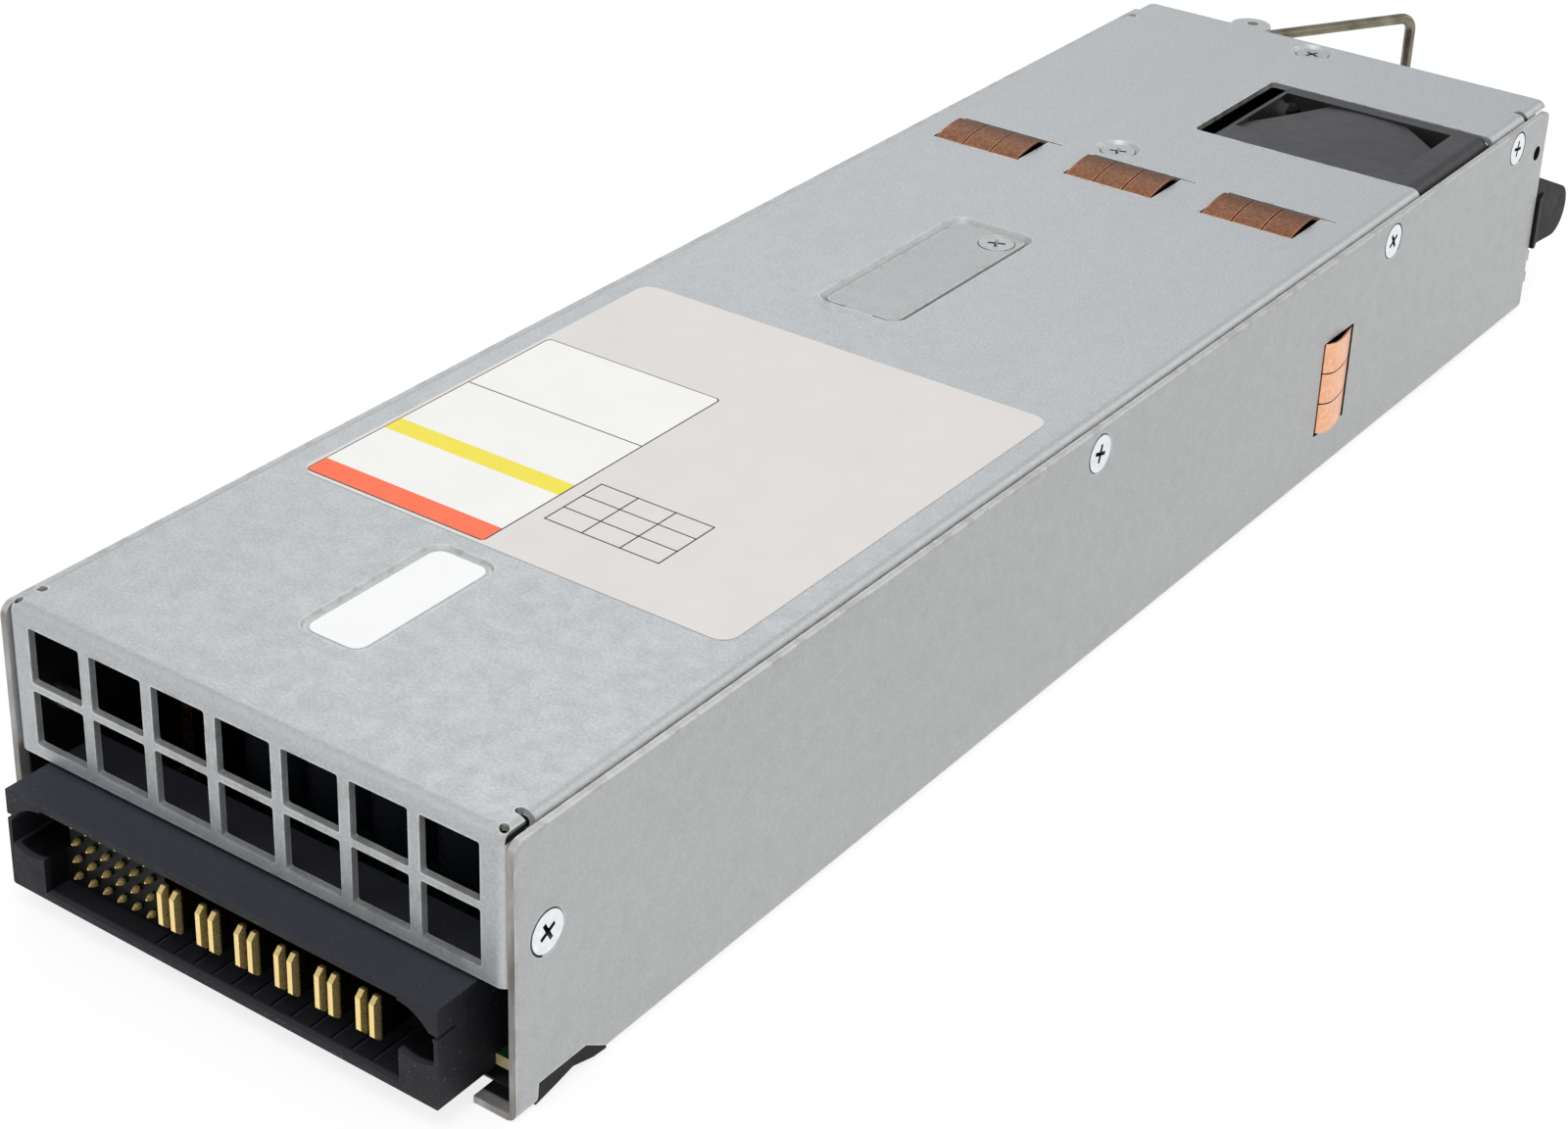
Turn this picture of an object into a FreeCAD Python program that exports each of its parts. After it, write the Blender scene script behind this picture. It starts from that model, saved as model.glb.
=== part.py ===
import FreeCAD, Part
import math
import os
from FreeCAD import Rotation, Vector

# Hot swap server power supply, in millimetres.
# X runs across the unit, Y from the blind-mate connector (front) to the mains end, Z up.
# Everything is drawn from the front plane of the case; at the end it moves back by half the
# case length, so that the origin of the part is the middle of the underside.

# ---------------------------------------------------------------- case
case_width = 82.0
case_height = 39.6
wall_length = 281.0          # front plane to the end of the side walls
cover_overhang = 2.1         # cover past the end of the side walls
sheet = 1.0
bend = 1.6                   # outside radius of every fold
seam = 0.1                   # gap between a tucked flange and the wall beside it
wall_drop = 1.0              # side wall top below the cover top
corner_round = 1.8
rear_corner = 1.0
wall_tab = [1.8, 0.7]        # small tabs on the end of each side wall: height, reach
wall_tab_gaps = [6.6, 2.4]   # below the latch lever

half_width = case_width / 2
cover_half = half_width - sheet - seam
cover_length = wall_length + cover_overhang
cover_under = case_height - sheet
wall_top = case_height - wall_drop

# ---------------------------------------------------------------- blind-mate connector
connector_half = 35.2
connector_reach = 6.6        # in front of the case
connector_back = 9.0
connector_bottom = 3.3
connector_top = 17.55
connector_skin = 1.0
connector_edge = 0.4
shroud_depth = 8.6
end_block = 6.0
block_top = 9.6
guide_radius = 6.2
guide_upper = (6.2, 7.55)    # arc centre from the housing's end and from its top
guide_lower = (3.6, 2.6)
guide_wall = 0.6
guide_slit = 0.7
guide_slit_depth = 3.2
guide_slit_width = 2.2
floor_groove = 0.35
floor_groove_width = 0.6
floor_groove_start = 1.2
pin_columns = 6
pin_rows = 4
pin_pitch = 2.54
pin_side = 0.64
pin_x = -19.9
pin_z = 10.4
pin_tip = -4.4
pin_block_front = -2.9       # face of the raised block that the pins stand in
pin_block_side = 1.9
blade_pairs = 6
pair_pitch = 6.42
pair_x = 7.0
pair_spread = 2.1
power_blade_sheet = 0.75
power_blade_height = 6.2
power_blade_z = 9.9
power_blade_tip = -5.4
power_blade_bevel = 0.8
power_foot = 5.0
tail_pitch = 2.0
tail_start = 1.0             # first row of tails behind the housing

# ---------------------------------------------------------------- front grille and cover flanges
grille_columns = 7
grille_rows = 2
column_bar = 1.75
row_bar = 1.1
hole_corner = 0.35
grille_margin = 2.65         # cover top to the first row
grille_side = 3.8            # grille to the side of the cover
grille_sill = 1.75           # bar below the last row
flange_gap = 0.75            # grille flange above the connector
front_return = 10.0          # depth of the grille's side returns
side_flange = 12.6
corner_slit = 0.5            # open slit between the cover's front corner and the wall
corner_slit_length = 4.6
corner_slit_depth = 1.8
relief_width = 1.3           # rounded relief slots across the cover's side folds
relief_reach = 2.4
corner_hole = 0.6
rear_relief = 7.5            # the cover's side folds stop this far before the wall end

front_flange_bottom = connector_top + flange_gap
hole_width = (2 * (cover_half - grille_side) - (grille_columns - 1) * column_bar) / grille_columns
grille_height = case_height - grille_margin - front_flange_bottom - grille_sill
hole_height = (grille_height - (grille_rows - 1) * row_bar) / grille_rows

# ---------------------------------------------------------------- tray
front_tab = 6.4              # floor tabs left beside the connector
tray_mouth = 6.0             # depth of the floor cut under the connector
mouth_corner = 1.5
foot_notch_start = 3.7
foot_notch_length = 13.6
foot_notch_height = 3.4
foot_notch_ramp = 4.6
foot_notch_lean = 0.4
foot_notch_lip = 0.5
key_hole_radius = 1.35       # round hole near the end of the right wall
key_hole_play = 0.5          # the same hole is wider in the hidden end panel
key_hole_inset = 3.3
key_hole_drop = 7.2          # below the wall's top

# ---------------------------------------------------------------- screws
screw_head_radius = 3.0
screw_head_height = 1.4
screw_shank_radius = 1.4
screw_length = 5.0
screw_clearance = 0.1
# distance along the wall and below its top
side_screws_at = [(5.8, 14.8), (0.45 * wall_length, 4.1), (wall_length - 61.5, 3.9),
                  (wall_length - 12.7, 3.4)]
cover_screws_at = [(-7.4, wall_length - 66.4), (-3.3, wall_length - 3.4)]
dimple_radius = 3.7
dimple_depth = 0.9

# ---------------------------------------------------------------- contact fingers
finger_count = 3
finger_width = 5.1
finger_gap = 0.25
finger_rise = 1.0
finger_sheet = 0.3
finger_crown = 0.36          # crown towards the mains end, as a share of the half length
finger_foot = 0.15           # the arch starts this far below the sheet's face
finger_slot_length = 10.4
finger_slot_near = 0.35      # slot past the finger at the end it slopes up from
finger_slot_far = 1.0
finger_slot_side = 0.35
finger_slit = 0.4            # narrow slit that runs on beside the far end of the slot
finger_slit_reach = 2.6
finger_lip = 2.4             # strip tucked under the sheet at each end
finger_groups = 3
finger_group_pitch = 25.2
finger_group_centre = -0.9
finger_y = wall_length - 76.4
side_finger_y = wall_length - 78.2
side_finger_z = 0.6 * (case_height - side_flange)

# ---------------------------------------------------------------- recesses in the cover
label_recess = [-8.6, 2.4, 17.4, 44.0]       # x range, y range
label_recess_depth = 0.5
label_recess_draft = 0.35
hatch_recess = [-13.4, 1.7, wall_length - 146.7, wall_length - 107.0]
hatch_recess_depth = 1.3
hatch_recess_draft = 0.9
recess_corner = 2.6
hatch_sheet = 0.8
hatch_gap = 0.25
hatch_tongue_width = 4.8
hatch_tongue_length = 1.8
hatch_screw_inset = 4.6
hatch_screw_offset = 2.75

# ---------------------------------------------------------------- fan
fan_sunk = 0.2               # fan below the cover's face and above the tray's
fan_depth = 28.0
fan_flange = 3.2
fan_wall = 1.3               # bore to the fan's flat side
fan_barrel_wall = 1.0
fan_corner = 2.5
fan_hole_radius = 1.8
fan_hole_inset = 3.4
fan_side_gap = 0.6           # fan to the inside of the side wall
fan_recess_left = 2.3        # rims round the sunk field in the fan's top and bottom
fan_recess_right = 6.0
fan_recess_near = 6.2
fan_recess_far = 2.4
fan_recess_edge = 1.6        # field below the rim along its sides, at the far end
fan_recess_crown = 0.3
fan_pocket_width = 8.2       # deep corner pockets at the far end of the field
fan_pocket_right = 6.0
fan_pocket_left = 15.0
window_gap = 0.4             # fan to the window edge along Y
window_left_gap = 2.0
window_corner = 1.0
fan_front = wall_length - 50.0
hub_share = 0.5              # hub radius against the bore's
hub_wall = 1.2
hub_length = 19.0
hub_face = 1.6
hub_end_gap = 4.0            # bearing tube short of the hub's front
shaft_end_gap = 0.4
blade_count = 7
blade_tip_gap = 0.5
blade_thickness = 1.1
blade_chord = 16.0
blade_twist = 38.0
blade_turn = 12.0            # more lean at the tip than in the middle, less at the root
blade_root = 0.6             # blade sunk into the hub
motor_plate = 3.0
motor_poles = 6
motor_depth = 10.0
motor_gap = 1.0
motor_ring = 1.6
pole_width = 2.6
bearing_wall = 2.0
rotor_gap = 0.6
fan_shaft_radius = 1.5
shaft_clearance = 0.05
strut_count = 4
strut_width = 2.2

fan_side = case_height - 2 * fan_sunk
fan_right = half_width - sheet - fan_side_gap
fan_left = fan_right - fan_side
fan_x = (fan_left + fan_right) / 2
fan_z = case_height / 2
fan_back = fan_front + fan_depth
fan_bore_radius = fan_side / 2 - fan_wall
hub_radius = hub_share * fan_bore_radius
window = [fan_left - window_left_gap, fan_front - window_gap, fan_back + window_gap]

# ---------------------------------------------------------------- boards
board_sheet = 1.6
board_rise = 2.7             # board underside above the tray floor
board_front = 3.4
board_side_gap = 1.4
board_end_gap = 18.0
board_fan_gap = 4.0
insulator_sheet = 0.3
insulator_lift = 0.05
standoff_radius = 2.6
standoff_hole_gap = 0.5
board_screw_radius = 1.4
board_screw_head_radius = 2.6
board_screw_crown_radius = 2.0
board_screw_head_height = 1.6
board_screw_reach = 2.0

board_bottom = sheet + board_rise
board_top = board_bottom + board_sheet
board_half = half_width - sheet - board_side_gap
board_end = wall_length - board_end_gap
board_step = fan_front - board_fan_gap
room_height = cover_under - board_top
room_beside_fan = board_half + window[0] - board_side_gap

# ---------------------------------------------------------------- parts on the board
part_gap = 0.8               # between neighbours that nearly touch
edge_gap = 1.1               # to the board's side edges
bridge_gap = 13.1            # bridge rectifier's middle from the board's left edge
bridge_y = wall_length - 71.5
bridge = [25.0, 4.6, 18.0]
bridge_leads = 4
bridge_lead_pitch = 6.5
bulk_share = 0.3886          # radius against the board's half width
bulk_gap = 4.0
bulk_drop = 3.3              # top of the cans below the cover
bulk_bridge_gap = 8.2
output_cap_share = 0.455     # radius against the pitch
output_cap_height = 22.0
output_cap_columns = 6
output_cap_rows = 2
output_cap_room = 10.9       # left free for the bus bars
output_cap_y = 34.2
crimp_depth = 0.5
crimp_height = 3.5
can_bevel = 0.5
toroid_share = 0.35
toroid_bore = 0.555          # inner against outer radius
toroid_height = 12.0
toroid_y = wall_length - 85.0
toroid_turns = 16
toroid_edge_gap = 0.2
choke_scale = 0.74
choke_y = wall_length - 47.0
choke_turns = 12
wire_side = 1.3
winding_slack = 0.2
core_width = 35.0
core_depth = 13.0
core_drop = 6.3              # top of the core and the heat sinks below the cover
core_leg = 10.0
core_yoke = 4.5
core_window_gap = 0.5
coil_depth = 28.0
coil_corner = 5.0
coil_flange = 1.0
coil_flange_sheet = 1.2
transformer_gap = 24.6       # middle from the board's right edge
transformer_y = 120.0
sink_plate = 3.0
sink_fins = 5
sink_fin_sheet = 1.4
sink_fan_gap = 19.0
sink_coil_gap = 5.0
secondary_sink_y = (50.0, 103.0)
package_thickness = 4.8
package_drop = 1.5           # top of a transistor below the top of its sink
package_lift = 5.0
package_gap = 2.2
package_hole_radius = 1.8
package_hole_drop = 4.2
lead_share = 0.32            # lead pitch against the package's width
lead_width = 1.1
lead_sheet = 0.6
primary_package_count = 4
secondary_package_count = 3
film_cap_share = 0.445       # length against the room beside the fan
film_cap = [9.0, 15.0]       # depth, height
film_cap_corner = 1.0
film_cap_gap = 0.3
fuse_y = wall_length - 28.5
fuse_share = 0.47
fuse_wall = 0.3
fuse_radius = 2.6
fuse_cap_share = 0.26
fuse_lift = 1.0
fuse_clip = 3.0
inductor_gap = 24.6          # middle from the board's left edge
inductor_y = 82.0
inductor = [26.0, 22.0, 16.0]
inductor_corner = 1.0
inductor_strap = 2.0
inductor_strap_width = 10.0
inductor_strap_reach = 3.0
bus_bar_sheet = 2.0
bus_bar_height = 11.0
bus_bar_span = (23.0, 52.0)
bus_bar_corner = 2.0
bus_bar_gaps = [4.6, 9.1]    # from the board's left edge
control_gap = 5.1
control_start = 58.0
control_bulk_gap = 7.0
control_drop = 8.3
control_sheet = 1.2
chip_share = 0.69            # chip length against the spacing
chip = [9.0, 1.8]            # width, height
chip_count = 4
chip_levels = [0.6, 0.35]    # shares of the card's height
lead_wire_radius = 0.6
lead_wire_count = 2
lead_wire_pitch = 1.9
lead_wire_inset = 2.2
lead_wire_height = 12.0

bulk_radius = bulk_share * board_half
bulk_height = room_height - bulk_drop
bulk_x = bulk_radius + edge_gap - board_half
bulk_second_y = bridge_y - bridge[1] / 2 - bulk_bridge_gap - bulk_radius
bulk_first_y = bulk_second_y - 2 * bulk_radius - bulk_gap
output_cap_pitch = (2 * board_half - output_cap_room) / output_cap_columns
output_cap_radius = output_cap_share * output_cap_pitch
toroid_outer = toroid_share * board_half
toroid_inner = toroid_bore * toroid_outer
toroid_x = board_half - toroid_edge_gap - wire_side - toroid_outer
choke_reach = choke_scale * toroid_outer + wire_side
choke_x = choke_reach - board_half
sink_height = room_height - core_drop
core_height = room_height - core_drop
transformer_x = board_half - transformer_gap
coil_end = transformer_y + coil_depth / 2 + coil_flange
primary_sink_x = bulk_x + bulk_radius + part_gap + package_thickness + sink_plate / 2
primary_sink_y = (coil_end + sink_coil_gap, fan_front - sink_fan_gap)
secondary_sink_x = board_half - part_gap - package_thickness - sink_plate / 2
sink_fin_reach = toroid_x - toroid_outer - wire_side - part_gap - primary_sink_x - sink_plate / 2
package_height = sink_height - package_lift - package_drop
film_cap_length = film_cap_share * room_beside_fan
film_cap_x = window[0] - board_side_gap - film_cap_length / 2
film_cap_ys = [choke_y - choke_reach - film_cap_gap - film_cap[0] / 2,
               choke_y + choke_reach + film_cap_gap + film_cap[0] / 2]
fuse_length = fuse_share * room_beside_fan
fuse_x = fuse_length / 2 + edge_gap - board_half
control_x = control_gap - board_half
control_y = (control_start, bulk_first_y - bulk_radius - control_bulk_gap)
control_height = room_height - control_drop
front_standoff_y = connector_back + tail_start + pin_rows * tail_pitch + board_screw_radius
front_standoff_x = board_half - 6.6
middle_standoff_x = board_half - 3.6
rear_standoff_x = board_half - 5.6
standoffs_at = [(-front_standoff_x, front_standoff_y), (front_standoff_x, front_standoff_y),
                (-middle_standoff_x, bulk_first_y - 18.0), (middle_standoff_x, transformer_y + 14.0),
                (-rear_standoff_x, wall_length - 64.0), (rear_standoff_x, wall_length - 59.0)]

# ---------------------------------------------------------------- mains inlet
inlet_inset = 17.8           # middle of the inlet from the case's left side
inlet_flange = [30.7, 24.0, 2.2]
inlet_body = [27.0, 19.6, 19.0]
inlet_mouth = [24.0, 16.6, 16.2]
inlet_chamfer = 4.2
inlet_corner = 2.5
inlet_inner_corner = 1.5
inlet_fit = 0.15
inlet_blade = [2.0, 4.0, 12.0]
inlet_blade_corner = 0.6
inlet_blade_spacing = 7.0
inlet_earth_offset = 2.0
inlet_tab = 4.0
inlet_lead_inset = 0.24

inlet_x = inlet_inset - half_width
inlet_z = case_height / 2
inlet_back = wall_length - inlet_body[2] - inlet_tab

# ---------------------------------------------------------------- end panel
panel_flange = 17.0
panel_bend = 0.9 * sheet            # outer radius at the flanges of the end panel
panel_roof_left = -8.0
panel_roof_depth = 7.5
vent_hex = 2.2               # flat to centre
vent_bar = 1.0
vent_margin = 0.9            # vent circle inside the fan's bore
lamp_gap = 19.6              # from the middle of the inlet
lamp_drop = 7.6              # below the cover
lamp_radius = 1.5
lamp_length = 9.0
lamp_collar = 0.8

vent_radius = fan_bore_radius - vent_margin
lamp_x = inlet_x + lamp_gap
lamp_z = cover_under - lamp_drop

# ---------------------------------------------------------------- wire bail
bail_wire = 2.0
bail_offset = 4.5            # pivot from the middle of the inlet
bail_overhang = 0.9          # pivot past the cover's edge
bail_reach = 35.0
bail_swing = 31.5            # resting angle from +Y towards +X
bail_corner = 2.4
bail_elbow = 1.5
bail_lift = 0.3              # wire to ear
bail_end = 0.15              # wire ends inside the faces of the ears
ear_radius = 3.7

bail_x = inlet_x + bail_offset
bail_y = cover_length + bail_overhang
bail_low = sheet + bail_lift + bail_elbow
bail_high = cover_under - bail_lift - bail_elbow

# ---------------------------------------------------------------- release latch
latch_inset = 5.8            # pivot from the case's right side
latch_pivot_inset = 5.4      # pivot from the wall end
latch_pin_radius = 1.0
latch_pin_head = 0.7
latch_pin_head_height = 0.8
latch_pin_end = 0.4
latch_below = 7.8            # lever below and above the case's middle height
latch_above = 5.8
latch_tip = 16.0             # pad past the wall end
latch_nose_rise = 3.6        # centre of the nose above the lever's underside
latch_nose_radius = 4.7
latch_arm = [1.9, 2.0]       # lever to the left and right of the pivot
latch_tail = 5.2             # lever behind the pivot
latch_tail_cut = 1.4
latch_tail_ramp = [2.5, 1.2]
latch_pad_left = 1.2
latch_pad_side = 0.3         # pad inside the wall's outer face
latch_tooth = 0.6            # tooth past the side wall
latch_tooth_land = 0.8
latch_tooth_ramp = 3.0
latch_tooth_drop = 4.0       # top of the tooth below the top of the lever
latch_slot_gap = 0.5
latch_stroke = 1.7
latch_ear = 3.2
latch_ear_corner = 3.0
latch_ear_gap = 0.3
spring_half_height = 2.5
spring_sheet = 0.4
spring_run = 1.9             # bent stretch in front of the lever's tail
spring_overlap = 1.8
spring_tip_gap = 0.3

latch_x = half_width - latch_inset
latch_y = wall_length - latch_pivot_inset
latch_bottom = case_height / 2 - latch_below
latch_top = case_height / 2 + latch_above
arm_left = latch_x - latch_arm[0]
arm_right = latch_x + latch_arm[1]
panel_roof_right = latch_x - latch_ear - latch_arm[1]

X_AXIS = Vector(1, 0, 0)
Y_AXIS = Vector(0, 1, 0)
Z_AXIS = Vector(0, 0, 1)
past = 1.0                   # how far a cutting tool runs past the face it cuts


# ================================================================ small helpers
def box(x0, x1, y0, y1, z0, z1):
    return Part.makeBox(x1 - x0, y1 - y0, z1 - z0, Vector(x0, y0, z0))


def block(x, y, z, width, depth, height):
    """Box centred on x and y, standing on z."""
    return box(x - width / 2, x + width / 2, y - depth / 2, y + depth / 2, z, z + height)


def rod(radius, length, x, y, z, axis=Z_AXIS):
    return Part.makeCylinder(radius, length, Vector(x, y, z), axis)


def prism(points, direction):
    wire = Part.makePolygon(points + [points[0]])
    return Part.Face(wire).extrude(direction)


def prism_z(points, z0, z1):
    return prism([Vector(x, y, z0) for x, y in points], Vector(0, 0, z1 - z0))


def prism_x(points, x0, x1):
    return prism([Vector(x0, y, z) for y, z in points], Vector(x1 - x0, 0, 0))


def round_edges(shape, radius, axis, keep=None):
    """Fillet the straight edges along an axis, those whose middle passes the keep test."""
    chosen = []
    for edge in shape.Edges:
        ends = [vertex.Point for vertex in edge.Vertexes]
        if len(ends) != 2 or (ends[1] - ends[0]).cross(axis).Length > 1e-6:
            continue
        middle = (ends[0] + ends[1]) * 0.5
        if keep is None or keep(middle):
            chosen.append(edge)
    return shape.makeFillet(radius, chosen)


def join(pieces):
    return pieces[0].multiFuse(pieces[1:]).removeSplitter()


def group(pieces):
    return Part.makeCompound(pieces)


def mirrored(shape):
    return shape.mirror(Vector(0, 0, 0), X_AXIS)


def both_sides(shape):
    return [shape, mirrored(shape)]


def rounded_rectangle(x0, x1, y0, y1, z, radius):
    corners = [(x1 - radius, y1 - radius, 0), (x0 + radius, y1 - radius, 90),
               (x0 + radius, y0 + radius, 180), (x1 - radius, y0 + radius, 270)]
    arcs = []
    for x, y, start in corners:
        arcs.append(Part.makeCircle(radius, Vector(x, y, z), Z_AXIS, start, start + 90))
    edges = []
    for index, arc in enumerate(arcs):
        following = arcs[(index + 1) % 4]
        edges.append(arc)
        edges.append(Part.makeLine(arc.Vertexes[-1].Point, following.Vertexes[0].Point))
    return Part.Wire(edges)


def tapered_pad(area, radius, z_top, z_floor, grow):
    """Rounded rectangle at z_top that narrows by grow on each side down to z_floor."""
    x0, x1, y0, y1 = area
    top = rounded_rectangle(x0, x1, y0, y1, z_top, radius)
    floor = rounded_rectangle(x0 + grow, x1 - grow, y0 + grow, y1 - grow, z_floor, radius - grow)
    return Part.makeLoft([floor, top], True, True)


def bent_wire(points, bends, radius):
    """Round wire through points that turn by right angles, with one bend radius per turn."""
    pieces = []
    start = points[0]
    for index, bend_radius in enumerate(bends):
        corner = points[index + 1]
        before = (points[index] - corner).normalize()
        after = (points[index + 2] - corner).normalize()
        turn = corner + before * bend_radius
        pieces.append(Part.makeCylinder(radius, (turn - start).Length, start, -before))
        disc = Part.Face(Part.Wire([Part.makeCircle(radius, turn, before)]))
        pieces.append(disc.revolve(turn + after * bend_radius, after.cross(before), 90))
        start = corner + after * bend_radius
    pieces.append(Part.makeCylinder(radius, (points[-1] - start).Length, start, points[-1] - start))
    return join(pieces)


def hexagon(x, z, apothem, y0, depth):
    reach = apothem / math.cos(math.pi / 6)
    points = []
    for step in range(6):
        angle = math.radians(60 * step + 30)
        points.append(Vector(x + reach * math.cos(angle), y0, z + reach * math.sin(angle)))
    return prism(points, Vector(0, depth, 0))


# ================================================================ screws
def flat_screw(head_top, direction, extra=0.0):
    """Countersunk screw with its head flush at head_top; extra widens it into a hole tool."""
    head = Part.makeCone(screw_head_radius + extra, screw_shank_radius + extra, screw_head_height,
                         head_top, direction)
    shank = Part.makeCylinder(screw_shank_radius + extra, screw_length + extra, head_top, direction)
    return join([head, shank])


def side_screw_places():
    places = []
    for y, drop in side_screws_at:
        z = wall_top - drop
        places.append((Vector(half_width, y, z), Vector(-1, 0, 0)))
        places.append((Vector(-half_width, y, z), Vector(1, 0, 0)))
    return places


def cover_screw_places():
    sunk = case_height - dimple_depth * 0.5
    return [(Vector(x, y, sunk), Vector(0, 0, -1)) for x, y in cover_screws_at]


def hatch_screw_place():
    x = (hatch_recess[0] + hatch_recess[1]) / 2 + hatch_screw_offset
    y = hatch_recess[3] - hatch_screw_inset
    return [(Vector(x, y, hatch_top()), Vector(0, 0, -1))]


def screws(places):
    return group([flat_screw(place, direction) for place, direction in places])


def screw_tools(places):
    return [flat_screw(place, direction, screw_clearance) for place, direction in places]


# ================================================================ tray
def side_window(y, z):
    length = finger_slot_length / 2
    width = finger_group_width() / 2 + finger_slot_side
    return box(half_width - 2 * sheet, half_width + past, y - length, y + length, z - width, z + width)


def foot_notch():
    end = foot_notch_start + foot_notch_length
    outline = [(foot_notch_start, -past), (foot_notch_start + foot_notch_lean, foot_notch_height),
               (end - foot_notch_ramp, foot_notch_height), (end, foot_notch_lip), (end, -past)]
    return prism_x(outline, half_width - 2 * sheet, half_width + past)


def tray():
    outer = box(-half_width, half_width, 0, wall_length, 0, wall_top)
    outer = round_edges(outer, bend, Y_AXIS, lambda p: p.z < sheet)
    outer = round_edges(outer, corner_round, X_AXIS, lambda p: p.z > wall_top - sheet)
    inner = box(-half_width + sheet, half_width - sheet, -past, wall_length + past, sheet, wall_top + past)
    inner = round_edges(inner, bend - sheet, Y_AXIS, lambda p: p.z < 2 * sheet)
    body = outer.cut(inner)
    ear = rod(ear_radius, sheet, bail_x, cover_length, 0)
    bridge = box(bail_x - ear_radius, bail_x + ear_radius, wall_length - sheet, cover_length, 0, sheet)
    body = join([body, ear, bridge] + wall_tabs())
    mouth = half_width - front_tab
    cuts = [round_edges(box(-mouth, mouth, -past, tray_mouth, -past, 2 * sheet), mouth_corner, Z_AXIS,
                        lambda p: p.y > 0)]
    cuts += both_sides(foot_notch()) + both_sides(side_window(side_finger_y, side_finger_z))
    cuts.append(box(window[0], half_width - sheet / 2, window[1], window[2], -past, sheet + seam))
    cuts.append(key_hole(key_hole_radius, half_width - 2 * sheet, half_width + past))
    cuts.append(bail_hole(-past))
    return body.cut(cuts + screw_tools(side_screw_places()))


def wall_tabs():
    """Small tabs on the end of each wall that hook round the end panel."""
    height, reach = wall_tab
    tabs = []
    for gap in wall_tab_gaps:
        z = latch_bottom - gap
        tabs += both_sides(box(half_width - sheet, half_width, wall_length - sheet, wall_length + reach,
                               z, z + height))
    return tabs


def key_hole(radius, x0, x1):
    return rod(radius, x1 - x0, x0, wall_length - key_hole_inset, wall_top - key_hole_drop, X_AXIS)


def bail_hole(z):
    return rod(bail_wire / 2 + shaft_clearance, sheet + 2 * past, bail_x, bail_y, z)


# ================================================================ top cover
def cover_blank():
    """Folded cover before its holes: top, grille flange and the two long side flanges."""
    outer = box(-cover_half, cover_half, 0, cover_length, front_flange_bottom, case_height)
    outer = round_edges(outer, corner_round, Z_AXIS, lambda p: p.y > sheet)
    outer = outer.makeFillet(bend, front_edges(outer, case_height))
    inner = box(-cover_half + sheet, cover_half - sheet, sheet, cover_length + past,
                front_flange_bottom - past, cover_under)
    inner = inner.makeFillet(bend - sheet, front_edges(inner, cover_under, sheet))
    return outer.cut(inner)


def front_edges(shape, top, front=0.0):
    """The two long top edges, the front top edge and the two front corners of a box."""
    chosen = []
    for edge in shape.Edges:
        ends = [vertex.Point for vertex in edge.Vertexes]
        middle = (ends[0] + ends[-1]) * 0.5
        on_top = abs(middle.z - top) < 1e-6
        on_front = abs(middle.y - front) < 1e-6
        sideways = abs(middle.x) < 1e-6
        along_top = on_top and not sideways and abs(ends[0].y - ends[-1].y) > wall_length / 2
        upright = not sideways and abs(ends[0].z - ends[-1].z) > bend
        if along_top or (on_front and (on_top or upright)):
            chosen.append(edge)
    return chosen


def flange_trims():
    """What is cut away so that the side flanges stop short of the floor, corners and rear end."""
    inside = cover_half - bend
    low = box(inside, half_width + past, front_return, cover_length + past, 0, case_height - side_flange)
    rear_start = wall_length - rear_relief
    rear = box(inside, half_width + past, rear_start, cover_length + past, 0, cover_under)
    slit = box(cover_half - corner_slit, half_width + past, -past, corner_slit_length,
               case_height - corner_slit_depth, case_height + past)
    slit = round_edges(slit, corner_slit, Z_AXIS, lambda p: p.x < cover_half and p.y > 0)
    corner = rod(corner_hole, 2 * sheet, cover_half - 2 * corner_hole, 2 * corner_hole, cover_under - sheet)
    trims = []
    for piece in [low, rear, slit, corner, relief_slot(corner_slit_length), relief_slot(rear_start)]:
        trims += both_sides(piece)
    return trims


def relief_slot(y):
    """Slot across a side fold with a round inner end."""
    low = cover_under - sheet
    centre = cover_half - relief_reach + relief_width / 2
    slot = box(centre, half_width + past, y - relief_width / 2, y + relief_width / 2, low, case_height + past)
    return join([slot, rod(relief_width / 2, case_height + past - low, centre, y, low)])


def grille_holes():
    pitch = hole_width + column_bar
    first = -(grille_columns - 1) / 2 * pitch
    holes = []
    for row in range(grille_rows):
        z_top = case_height - grille_margin - row * (hole_height + row_bar)
        for column in range(grille_columns):
            x = first + column * pitch
            hole = box(x - hole_width / 2, x + hole_width / 2, -past, sheet + past,
                       z_top - hole_height, z_top)
            holes.append(round_edges(hole, hole_corner, Y_AXIS))
    return holes


def finger_group_width():
    return finger_count * finger_width + (finger_count - 1) * finger_gap


def finger_group_centres():
    first = finger_group_centre - (finger_groups - 1) / 2 * finger_group_pitch
    return [first + index * finger_group_pitch for index in range(finger_groups)]


def finger_slots():
    """Slots for the top fingers, each with a narrow slit that runs on beside its far end."""
    slots = []
    z0, z1 = cover_under - past, case_height + past
    half = finger_slot_length / 2
    for x in finger_group_centres():
        width = finger_group_width() / 2 + finger_slot_side
        far = finger_y + half
        slot = box(x - width, x + width, finger_y - half, far, z0, z1)
        slit = box(x, x + width + finger_slit_reach, far - finger_slit, far, z0, z1)
        slots.append(join([slot, slit]))
    return slots


def hatch_top():
    return case_height - hatch_recess_depth + hatch_sheet


def hatch_slits():
    """Slits at the near end of the hatch recess that its tongue reaches through."""
    x0, x1, y0 = hatch_recess[:3]
    z = case_height - hatch_recess_depth
    return box(x0 + recess_corner, x1 - recess_corner, y0 - hatch_tongue_length - hatch_gap,
               y0 + hatch_recess_draft, z, z + hatch_sheet + hatch_gap)


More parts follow.
